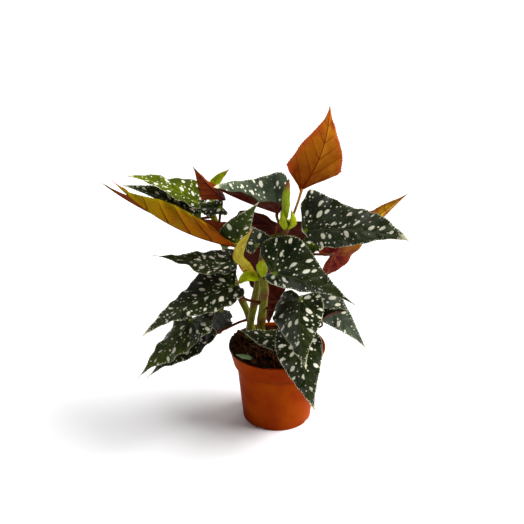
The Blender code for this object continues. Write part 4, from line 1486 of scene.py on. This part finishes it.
@dataclass(frozen=True)
class PotPlastic:
    """Terracotta-coloured polypropylene, blown from sheet: satin, even, with faint wall streaks.

    Thin spots look a little lighter, soil dust dulls it under the rim, painted shade darkens the
    corner under the band, and handling leaves hairline rubs on the wall.
    """

    name: str = "moulded_terracotta_polypropylene"
    deep: str = "#852800"
    bright: str = "#9E3E00"
    glow: str = "#F06408"
    dust_and_shade: str = "#4A2008"
    rub: str = "#B85818"
    roughness: float = 0.46
    through: float = 0.1

    def material(self) -> Material:
        """Make the plastic.

        Returns:
            The plastic's material.
        """
        material, add = new_material(self.name)
        scaled = place_in_mm(add)
        broad = add("TexNoise", {"Vector": scaled, "Scale": 0.03, "Detail": 3.0})
        tone = add("MapRange", {"Value": broad, "From Min": 0.35, "From Max": 0.65})
        height = add("SeparateXYZ", {0: scaled}).outputs["Z"]
        # Dust and painted shade darken the corner under the band, whose foot is 75 mm up,
        # and dust darkens the rim.
        under_band = add("Math", {0: height, 1: 74.0}, operation="SUBTRACT")
        under_band = add("Math", {0: under_band}, operation="ABSOLUTE")
        specks = add("TexNoise", {"Vector": scaled, "Scale": 0.35, "Detail": 5.0, "Roughness": 0.7})
        reach = add_up(add, (specks, -14.0), start=under_band)
        band_shade_and_dust = add("MapRange", {"Value": reach, "From Min": -2.0, "From Max": -7.5,
                                 "To Max": 0.45}, **EASED)
        rim = add_up(add, (specks, 16.0), start=height)
        rim = add("MapRange", {"Value": rim, "From Min": 105.0, "From Max": 110.0, "To Max": 0.45},
                  **EASED)
        drawn = add("VectorMath", {0: scaled, 1: (0.02, 0.02, 0.5)}, operation="MULTIPLY")
        lines = add("TexNoise", {"Vector": drawn, "Scale": 1.0, "Detail": 6.0, "Roughness": 0.75})
        rub = add("MapRange", {"Value": lines, "From Min": 0.62, "From Max": 0.7, "To Max": 0.25})
        colour = paint(add, self.deep, (tone, self.bright), (band_shade_and_dust, self.dust_and_shade), (rim, self.dust_and_shade),
                       (rub, self.rub))
        fine = add("TexNoise", {"Vector": scaled, "Scale": 0.9, "Detail": 4.0})
        rough = add("MapRange", {"Value": fine, "From Min": 0.3, "From Max": 0.7,
                                 "To Min": self.roughness - 0.05, "To Max": self.roughness + 0.10})
        rough = add_up(add, (band_shade_and_dust, 0.3), start=rough)
        height = add_up(add, (broad, 2.0), (fine, 0.05))
        skin = {"Base Color": colour, "Roughness": rough, "IOR": 1.49, "Specular IOR Level": 0.02}
        glow = linear(self.glow)
        return join_skin(material, add, skin, height, glow, self.through, strength=0.6)


@dataclass
class Pot:
    """A thin-walled nursery pot with a stepped band, a rolled lip, drain holes and foot notches."""

    node: str = "pot"
    foot_radius: float = 43.0
    wall: float = 1.6
    body_top_radius: float = 50.4
    band_height: float = 24.0
    band_step: float = 3.6
    band_edge: float = 0.5
    lip_height: float = 3.0
    lip_round: float = 0.8
    floor_lift: float = 3.0
    floor_thickness: float = 1.6
    foot_width: float = 5.0
    draft: float = 1.0
    holes: int = 6
    hole_radius: float = 4.0
    hole_ring: float = 25.0
    notches: int = 4
    notch_width: float = 10.0
    notch_height: float = 2.0
    notch_turn: float = -29.0
    segments: int = 160
    corner_steps: int = 4

    def rounded(self, corners: Sequence[Triple]) -> list[Pair]:
        """Round a section's corners.

        Args:
            corners: Radius, height and rounding of each corner.

        Returns:
            Radius and height of each point of the rounded section.
        """
        result: list[Pair] = []
        for index, (radius, height, rounding) in enumerate(corners):
            if rounding == 0 or index in (0, len(corners) - 1):
                result.append((radius, height))
                continue
            here = np.array((radius, height))
            before, after = np.array(corners[index - 1][:2]), np.array(corners[index + 1][:2])
            start = here + unit(before - here) * rounding
            end = here + unit(after - here) * rounding
            for share in np.linspace(0, 1, self.corner_steps + 1):
                point = (1 - share) ** 2 * start + 2 * share * (1 - share) * here + share**2 * end
                result.append((float(point[0]), float(point[1])))
        return result

    def section(self, height: float, rim: float) -> list[Pair]:
        """Draw the pot's section, from the middle of its underside round to that of its floor.

        Args:
            height: Height of the pot.
            rim: Radius of its lip.

        Returns:
            Radius and height of each point of the section.
        """
        band = height - self.band_height
        shoulder = self.body_top_radius + self.band_step
        inner_foot = self.foot_radius - self.foot_width
        inside = self.wall
        floor_top = self.floor_lift + self.floor_thickness
        lip_foot = height - self.lip_height
        return self.rounded([
            (0.0, self.floor_lift, 0), (inner_foot - self.draft, self.floor_lift, 0.6),
            (inner_foot, 0.0, 0.5), (self.foot_radius, 0.0, 0.9),
            (self.body_top_radius, band, 0.8), (shoulder - 0.4, band + 0.2, 0.7),
            (shoulder + self.band_edge, band + 1.6, 0.6),
            (rim - self.lip_round, lip_foot, 0.5), (rim, lip_foot + 0.7, 0.35), (rim, height, 0.8),
            (rim - self.lip_round - inside, height, 0.7),
            (shoulder + self.band_edge - inside, band + 2, 0.8),
            (self.body_top_radius - inside, band + 0.4, 0.8),
            (self.foot_radius - inside, floor_top, 1.4), (0.0, floor_top, 0),
        ])

    def cutter(self, name: str, size: Triple, place: Matrix, sides: int) -> Object:
        """Make a prism that cuts a hole or a notch.

        Args:
            name: Name of the cutter.
            size: Its half sizes, or its radius twice and its half height, in millimetres.
            place: Where it goes.
            sides: How many sides it has.

        Returns:
            The cutter.
        """
        mesh = bpy.data.meshes.new(name)
        bm = bmesh.new()
        bmesh.ops.create_cone(
            bm, cap_ends=True, segments=sides, radius1=1.0, radius2=1.0, depth=2.0)
        if sides == 4:
            bmesh.ops.rotate(bm, verts=bm.verts, matrix=Matrix.Rotation(math.pi / 4, 3, "Z"))
            bmesh.ops.scale(bm, verts=bm.verts, vec=(math.sqrt(2), math.sqrt(2), 1.0))
        bmesh.ops.scale(bm, verts=bm.verts, vec=[side * MM for side in size])
        bm.transform(place)
        bm.to_mesh(mesh)
        bm.free()
        return bpy.data.objects.new(name, mesh)

    def build(self) -> Object:
        """Make the pot.

        Returns:
            The piece, dressed and riding on the plant.
        """
        low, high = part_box(self.node)
        section = self.section(high.z / MM, (high.x - low.x) / 2 / MM)
        middle = (low + high) / 2 / MM
        points, faces = [], []
        rows: list[list[int]] = []
        for radius, height in section:
            if radius == 0:
                points.append((middle.x, middle.y, height))
                rows.append([len(points) - 1] * self.segments)
                continue
            rows.append([])
            for turn in turns(self.segments):
                x, y = middle.x + radius * math.cos(turn), middle.y + radius * math.sin(turn)
                points.append((x, y, height))
                rows[-1].append(len(points) - 1)
        for below, above in zip(rows, rows[1:]):
            for column in range(self.segments):
                beside = (column + 1) % self.segments
                ring = [below[column], below[beside], above[beside], above[column]]
                faces.append(list(dict.fromkeys(ring)))
        item = mesh_object("pot_moulded", np.array(points), faces)
        cutters = []
        for index in range(self.holes):
            turn = Matrix.Rotation(FULL_TURN * index / self.holes, 4, "Z")
            place = turn @ Matrix.Translation((self.hole_ring * MM, 0, self.floor_lift * MM))
            size = (self.hole_radius, self.hole_radius, 6.0)
            cutters.append(self.cutter(f"hole_{index}", size, place, 32))
        for index in range(self.notches):
            angle = math.radians(self.notch_turn + 360 * index / self.notches)
            turn = Matrix.Rotation(angle, 4, "Z")
            place = turn @ Matrix.Translation((self.foot_radius * MM, 0, 0))
            size = (self.foot_width + 4, self.notch_width / 2, self.notch_height)
            cutters.append(self.cutter(f"notch_{index}", size, place, 4))
        for cutter in cutters:
            bpy.context.scene.collection.objects.link(cutter)
            cut = item.modifiers.new(cutter.name, "BOOLEAN")
            cut.operation, cut.solver, cut.object = "DIFFERENCE", "EXACT", cutter
        view = bpy.context.evaluated_depsgraph_get()
        shaped = bpy.data.meshes.new_from_object(item.evaluated_get(view))
        item.modifiers.clear()
        item.data = shaped
        for cutter in cutters:
            bpy.data.objects.remove(cutter)
        item.data.shade_smooth()
        item.data.set_sharp_from_angle(angle=math.radians(40))
        return settle(item, "pot_plastic", [PotPlastic().material()], self.node)


# ---- soil

@dataclass(frozen=True)
class PeatFinish:
    """Moist sieved peat: near black where wet, brown where fibres have dried, and never glossy."""

    name: str = "moist_sieved_peat"
    wet: str = "#0E0502"
    damp: str = "#241006"
    fibre: str = "#4A2A10"

    def material(self) -> Material:
        """Make the peat.

        Returns:
            The peat's material.
        """
        material, add = new_material(self.name)
        scaled = place_in_mm(add)
        clumps = add("TexNoise", {"Vector": scaled, "Scale": 0.22, "Detail": 5.0,
                                  "Roughness": 0.65})
        tone = add("MapRange", {"Value": clumps, "From Min": 0.38, "From Max": 0.64})
        grit = add("TexVoronoi", {"Vector": scaled, "Scale": 0.8}, feature="F1")
        chance = add("SeparateColor", {0: grit.outputs["Color"]})
        bright = add("MapRange", {"Value": chance.outputs["Red"], "From Min": 0.82,
                                  "From Max": 0.95, "To Max": 0.7})
        colour = paint(add, self.wet, (tone, self.damp), (bright, self.fibre))
        fine = add("TexNoise", {"Vector": scaled, "Scale": 1.4, "Detail": 5.0, "Roughness": 0.7})
        height = add_up(add, (grit, 0.5), start=fine)
        rough = add("MapRange", {"Value": clumps, "From Min": 0.35, "From Max": 0.6,
                                 "To Min": 0.62, "To Max": 0.95})
        skin = {"Base Color": colour, "Roughness": rough, "IOR": 1.4, "Specular IOR Level": 0.15}
        return join_skin(material, add, skin, height, strength=1.0, depth=0.8 * MM)


@dataclass(frozen=True)
class ScrapFinish:
    """Loose bits on the peat, such as bark chips, root hairs and expanded white perlite."""

    name: str
    dark: str
    light: str
    roughness: float = 0.85

    def material(self) -> Material:
        """Make the bits' surface.

        Returns:
            The bits' material.
        """
        material, add = new_material(self.name)
        tone = add("TexNoise", {"Vector": place_in_mm(add), "Scale": 0.6, "Detail": 4.0})
        share = add("MapRange", {"Value": tone, "From Min": 0.35, "From Max": 0.65})
        colour = paint(add, self.dark, (share, self.light))
        rough = add("MapRange", {"Value": tone, "From Min": 0.3, "From Max": 0.7,
                                 "To Min": self.roughness - 0.1, "To Max": self.roughness + 0.1})
        skin = {"Base Color": colour, "Roughness": rough, "IOR": 1.4, "Specular IOR Level": 0.15}
        return join_skin(material, add, skin, tone, strength=0.8, depth=0.5 * MM)


class Scrap(Enum):
    """The loose bits on the peat."""

    CRUMB = ScrapFinish("peat_crumb", "#160A04", "#482610")
    TWIG = ScrapFinish("dry_twig", "#5A2808", "#8E4A18")
    PERLITE = ScrapFinish("expanded_perlite", "#A8A294", "#D8D4C8")
    ROOT_HAIR = ScrapFinish("dry_root_hair", "#5A3A20", "#A88A62")


@dataclass
class Soil:
    """Crumbly peat over the frame's soil, with loose crumbs, root hairs and a dry twig on top.

    Where the frame's soil is heaped above the rim it spills over the rim's top. side_rings are the
    depth and the share of the radius of the rings below the surface, which narrow so that the
    peat's side stays inside the pot. Crumbs and perlite lie within a spread, a share of the radius.
    """

    node: str = "soil"
    pot: str = "pot"
    rings: int = 60
    segments: int = 220
    lump: float = 1.3
    crumb_height: float = 2.0
    crumbs: int = 620
    crumb_size: Pair = (0.7, 2.8)
    crumb_spread: float = 1.06
    perlite: int = 7
    perlite_size: Pair = (0.8, 1.5)
    perlite_spread: float = 0.9
    hairs: int = 60
    side_rings: tuple[Pair, ...] = ((4.0, 0.98), (9.0, 0.88), (30.0, 0.8))
    seed: int = 11

    def __post_init__(self) -> None:
        """Read the frame's soil for its surface, its middle and its radius."""
        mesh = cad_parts[self.node].data
        self.tree = BVHTree.FromPolygons([vert.co for vert in mesh.vertices],
                                         [list(face.vertices) for face in mesh.polygons])
        low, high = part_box(self.node)
        self.low, self.top = low.z / MM, high.z / MM
        self.middle = np.array(((low.x + high.x) / 2, (low.y + high.y) / 2)) / MM
        self.radius = (high.x - low.x) / 2 / MM * 0.985
        pot_low, pot_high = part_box(self.pot)
        self.rim_radius, self.rim_top = (pot_high.x - pot_low.x) / 2 / MM, pot_high.z / MM

    def smooth_height(self, x: float, y: float) -> float:
        """Height of the frame's soil at a place, in millimetres."""
        hit = self.tree.ray_cast(Vector((x, y, self.top + 50)) * MM, Vector((0, 0, -1)))[0]
        return hit.z / MM if hit and hit.z / MM > self.low + 20 else self.top - 12

    def spill(self, x: float, y: float) -> Pair:
        """Say how far the peat spills over the rim in the direction of a place.

        Args:
            x: The place along the frame's x axis.
            y: The place along its y axis.

        Returns:
            The share of a full spill, and the radius that it reaches.
        """
        way = np.array((x, y)) - self.middle
        way = way / max(np.linalg.norm(way), 1e-6)
        edge = self.middle + way * self.radius
        share = float(smooth_step(np.array(self.smooth_height(*edge) - self.rim_top), -0.8, 1.6))
        ragged = 1.3 * noise.noise(Vector((*(way * 7.0), 4.0)))
        return share, self.radius + share * (self.rim_radius - self.radius - 0.2 + ragged)

    def height(self, x: float, y: float) -> float:
        """Find the height of the crumbled surface at a place.

        Args:
            x: The place along the frame's x axis.
            y: The place along its y axis.

        Returns:
            The height in millimetres.
        """
        reach = math.hypot(x - self.middle[0], y - self.middle[1])
        if reach > self.radius:
            inside = self.middle + (np.array((x, y)) - self.middle) * (self.radius / reach)
            return self.height(*inside) - 0.4 * (reach - self.radius)
        lumps = noise.noise(Vector((x, y, 3.0)) * 0.09) * self.lump
        crumb = noise.voronoi(Vector((x, y, 1.0)) * 0.34)[0][0]
        fine = noise.noise(Vector((x, y, 9.0)) * 0.7) * 0.35
        return self.smooth_height(x, y) + lumps + (0.45 - crumb) * self.crumb_height + fine - 0.3

    def build(self) -> Object:
        """Make the body of peat.

        Returns:
            The piece, dressed and riding on the plant.
        """
        points: list[Triple] = [(*self.middle, self.height(*self.middle))]
        for share in np.linspace(0, 1, self.rings + 1)[1:]:
            for turn in turns(self.segments):
                reach = self.radius * 0.999 * share
                x = self.middle[0] + reach * math.cos(turn)
                y = self.middle[1] + reach * math.sin(turn)
                points.append((x, y, self.height(x, y)))
        edge = points[-self.segments:]
        lip: list[list[Triple]] = [[], [], []]
        for x, y, z in edge:
            share, reach = self.spill(x, y)
            out = np.array((x, y)) - self.middle
            out = out / np.linalg.norm(out)
            low = share * (self.rim_top + 0.1) + (1 - share) * (z - 0.6)
            crest = max(z - 0.4 * (reach - self.radius), low + 0.2)
            lip[0].append((*(self.middle + out * (reach + 0.02)), crest))
            lip[1].append((*(self.middle + out * (reach + 0.05 + 0.5 * share)), low))
            lip[2].append((x, y, min(z, self.rim_top) - 1.0))
        for ring in lip:
            points.extend(ring)
        for depth, shrink in self.side_rings:
            for x, y, z in lip[2]:
                x = self.middle[0] + (x - self.middle[0]) * shrink
                y = self.middle[1] + (y - self.middle[1]) * shrink
                points.append((x, y, z - depth))
        points.append((*self.middle, self.smooth_height(*self.middle) - 30.0))
        faces = []
        bands = self.rings + len(lip) + len(self.side_rings) - 1
        last = 1 + bands * self.segments
        for index in range(self.segments):
            beside = (index + 1) % self.segments
            faces.append([0, 1 + index, 1 + beside])
            for first in range(1, last, self.segments):
                second = first + self.segments
                faces.append([first + index, second + index, second + beside, first + beside])
            faces.append([last + index, len(points) - 1, last + beside])
        item = mesh_object("soil_peat", np.array(points), faces)
        return settle(item, "peat", [PeatFinish().material()], self.node)

    def scatter(self, seed: np.random.Generator, spread: float) -> Triple:
        """Pick a place on the surface.

        Args:
            seed: Source of random numbers.
            spread: Share of the soil's radius that the place lies within.

        Returns:
            The place.
        """
        turn = seed.uniform(0, FULL_TURN)
        reach = self.radius * spread * math.sqrt(seed.uniform(0, 1))
        way = np.array((math.cos(turn), math.sin(turn)))
        reach = min(reach, self.spill(*(self.middle + way))[1] - 1.2)
        x, y = self.middle + way * reach
        return x, y, self.height(x, y)

    def lumps(self, name: str, count: int, size: Pair, scrap: Scrap, spread: float) -> Object:
        """Make loose crumbs, each a rough little stone, as one piece.

        Args:
            name: Name of the piece.
            count: How many crumbs there are.
            size: Least and greatest radius of a crumb.
            scrap: What they are made of.
            spread: Share of the soil's radius that they lie within.

        Returns:
            The piece, dressed and riding on the plant.
        """
        seed = np.random.default_rng(self.seed + count)
        bm = bmesh.new()
        for _ in range(count):
            x, y, z = self.scatter(seed, spread)
            radius = seed.uniform(*size)
            made = bmesh.ops.create_icosphere(bm, subdivisions=2, radius=radius)["verts"]
            offset = Vector(seed.uniform(0, 90, 3))
            stretch = Vector(seed.uniform(0.6, 1.3, 3))
            angle = seed.uniform(0, 6.28)
            spin = Matrix.Rotation(angle, 3, Vector(seed.normal(size=3)).normalized())
            for vert in made:
                knob = 1 + 0.55 * noise.noise(vert.co * (1.1 / radius) + offset)
                vert.co = spin @ (vert.co * knob * stretch) + Vector((x, y, z + radius * 0.25))
        points = np.array([vert.co[:] for vert in bm.verts])
        faces = [[vert.index for vert in face.verts] for face in bm.faces]
        bm.free()
        return settle(mesh_object(name, points, faces, sharp=50), "peat", [scrap.value.material()])

    def twig(self) -> Object:
        """Make the dry twig that stands up beside the fallen sheath.

        Returns:
            The piece, dressed and riding on the plant.
        """
        low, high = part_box("stipule_fallen")
        x, y = high.x / MM + 3.0, (low.y + high.y) / 2 / MM
        base = self.height(x, y) - 2.0
        rows = [(x + 0.25 * rise - 0.02 * rise**2, y, base + rise) for rise in range(14)]
        points: list[Array] = []
        faces: list[list[int]] = []
        add_thread(points, faces, np.array(rows), 0.55)
        branch = [(x + 1.2 + 0.7 * out, y - 0.3 * out, base + 8 + 0.5 * out) for out in range(7)]
        add_thread(points, faces, np.array(branch), 0.35)
        item = mesh_object("soil_dry_twig", np.array(points), faces)
        return settle(item, "peat", [Scrap.TWIG.value.material()])

    def root_hairs(self) -> Object:
        """Make fine root hairs that lie on the peat and rise in low loops, as one piece.

        Returns:
            The piece, dressed and riding on the plant.
        """
        seed = np.random.default_rng(self.seed + 5)
        points: list[Array] = []
        faces: list[list[int]] = []
        for _ in range(self.hairs):
            x, y, _ = self.scatter(seed, 0.9)
            heading, size = seed.uniform(0, FULL_TURN), seed.uniform(0.12, 0.3)
            rise = seed.uniform(0.3, 2.0)
            steps = int(seed.uniform(8, 16))
            spine = []
            for step in range(steps + 1):
                arch = math.sin(math.pi * step / steps) * rise
                spine.append((x, y, self.height(x, y) + arch + 0.1))
                heading += seed.normal(0, 0.35)
                x, y = x + math.cos(heading) * 0.9, y + math.sin(heading) * 0.9
                if math.hypot(x - self.middle[0], y - self.middle[1]) > self.radius * 0.95:
                    break
            if len(spine) > 3:
                add_thread(points, faces, np.array(spine), size)
        item = mesh_object("soil_root_hairs", np.array(points), faces)
        return settle(item, "peat", [Scrap.ROOT_HAIR.value.material()])


def add_thread(points: list[Array], faces: list[list[int]], spine: Array, radius: float) -> None:
    """Add a fine five-sided thread along a route to a mesh's lists.

    Args:
        points: The mesh's points so far.
        faces: The mesh's faces so far.
        spine: Points of the route.
        radius: Radius of the thread.
    """
    sides, first = 5, len(points)
    last = len(spine) - 1
    for row, axes in enumerate(cross_axes(unit(np.gradient(spine, axis=0)), (0.2, 0.3, 0.9))):
        taper = radius * (1.0 if 0 < row < last else 0.4)
        points.extend(spine[row] + around(axes, turn) * taper for turn in turns(sides))
    for start in range(first, first + last * sides, sides):
        for column in range(sides):
            here, beside = start + column, start + (column + 1) % sides
            faces.append([here, beside, beside + sides, here + sides])
    faces.append([first + column for column in reversed(range(sides))])
    faces.append([first + last * sides + column for column in range(sides)])


# ---- studio

@dataclass(frozen=True)
class Light:
    """One soft white light: where it stands and looks, in metres, its size and its power.

    One with no size is so far off that it lights the floor evenly, and spread is how many degrees
    of the sky it then covers. It is so diffuse that it leaves no highlight.
    """

    name: str
    place: Triple
    aim: Triple
    power: float
    size: Pair | None = None
    spread: float = 30.0

    def build(self) -> None:
        """Hang the light."""
        lamp = bpy.data.lights.new(self.name, "AREA" if self.size else "SUN")
        if self.size:
            lamp.shape, lamp.size, lamp.size_y = "RECTANGLE", *self.size
        else:
            lamp.angle = math.radians(self.spread)
        lamp.energy = self.power
        item = bpy.data.objects.new(self.name, lamp)
        item.location = self.place
        way = Vector(self.aim) - Vector(self.place)
        item.rotation_euler = way.to_track_quat("-Z", "Y").to_euler()
        item.visible_glossy = self.size is not None
        bpy.context.scene.collection.objects.link(item)


@dataclass
class Studio:
    """A pale floor under even white light, with a camera that looks down at the plant."""

    camera_place: Triple = (-0.0189, -1.0008, 0.6673)
    camera_pitch: float = -24.46
    lens: float = 63.2
    floor_half: float = 12.0
    floor_colour: str = "#F7F7F7"
    sky_colour: str = "#FFFFFF"
    sky_strength: float = 0.085
    lights: tuple[Light, ...] = (
        Light("window", (1.0, 0.12, 0.82), (0.0, 0.0, 0.0), 5.7, spread=54.0),
        Light("top", (-0.4, 0.8, 2.3), (0.0, 0.0, 0.2), 17.0, size=(1.6, 1.0)),
        Light("left", (-1.7, -0.2, 0.6), (0.0, 0.0, 0.15), 3.5, size=(0.5, 0.7)),
        Light("side", (1.7, -0.3, 0.9), (0.0, 0.0, 0.15), 5.0, size=(0.5, 0.9)),
    )

    def build(self) -> None:
        """Set up the camera, the floor and the lights."""
        scene = bpy.context.scene
        scene.view_settings.view_transform = "Standard"
        camera = bpy.data.objects.new("camera", bpy.data.cameras.new("camera"))
        camera.data.lens, camera.data.clip_end = self.lens, 50.0
        camera.location = self.camera_place
        camera.rotation_euler = (math.radians(90 + self.camera_pitch), 0.0, 0.0)
        scene.collection.objects.link(camera)
        scene.camera = camera
        half = self.floor_half / MM
        corners = np.array(((-1, -1, 0), (1, -1, 0), (1, 1, 0), (-1, 1, 0))) * half
        floor = mesh_object("floor", corners, [[0, 1, 2, 3]])
        material, add = new_material("matt_white_paper")
        add("OutputMaterial", {"Surface": add("BsdfDiffuse", {"Color": linear(self.floor_colour)})})
        floor.data.materials.append(material)
        world = bpy.data.worlds.new("white_sky")
        world.use_nodes = True
        sky = world.node_tree.nodes["Background"]
        sky.inputs["Color"].default_value = linear(self.sky_colour)
        sky.inputs["Strength"].default_value = self.sky_strength
        scene.world = world
        for light in self.lights:
            light.build()


def main() -> None:
    """Build the studio and the plant, piece by piece."""
    logging.basicConfig(level=logging.INFO, format="%(name)s: %(message)s")
    Studio().build()
    Pot().build()
    soil = Soil()
    soil.build()
    soil.lumps("soil_crumbs", soil.crumbs, soil.crumb_size, Scrap.CRUMB, soil.crumb_spread)
    soil.twig()
    soil.lumps("soil_perlite", soil.perlite, soil.perlite_size, Scrap.PERLITE, soil.perlite_spread)
    soil.root_hairs()
    for leaf in make_leaves():
        leaf.build()
    for node, joints in CANE_JOINTS.items():
        Stem(node, Bark.CANE, joints, step=1.6, flare=0.06).build()
    for node in sorted(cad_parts):
        if node.startswith("stalk_"):
            Stem(node, Bark.YOUNG_STALK if node in YOUNG_STALKS else Bark.STALK).build()
    for node in sorted(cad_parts):
        if node.startswith("stipule_"):
            Sheath(node, PAPERS.get(node, Paper.FRESH)).build()


if __name__ == "__main__":
    main()
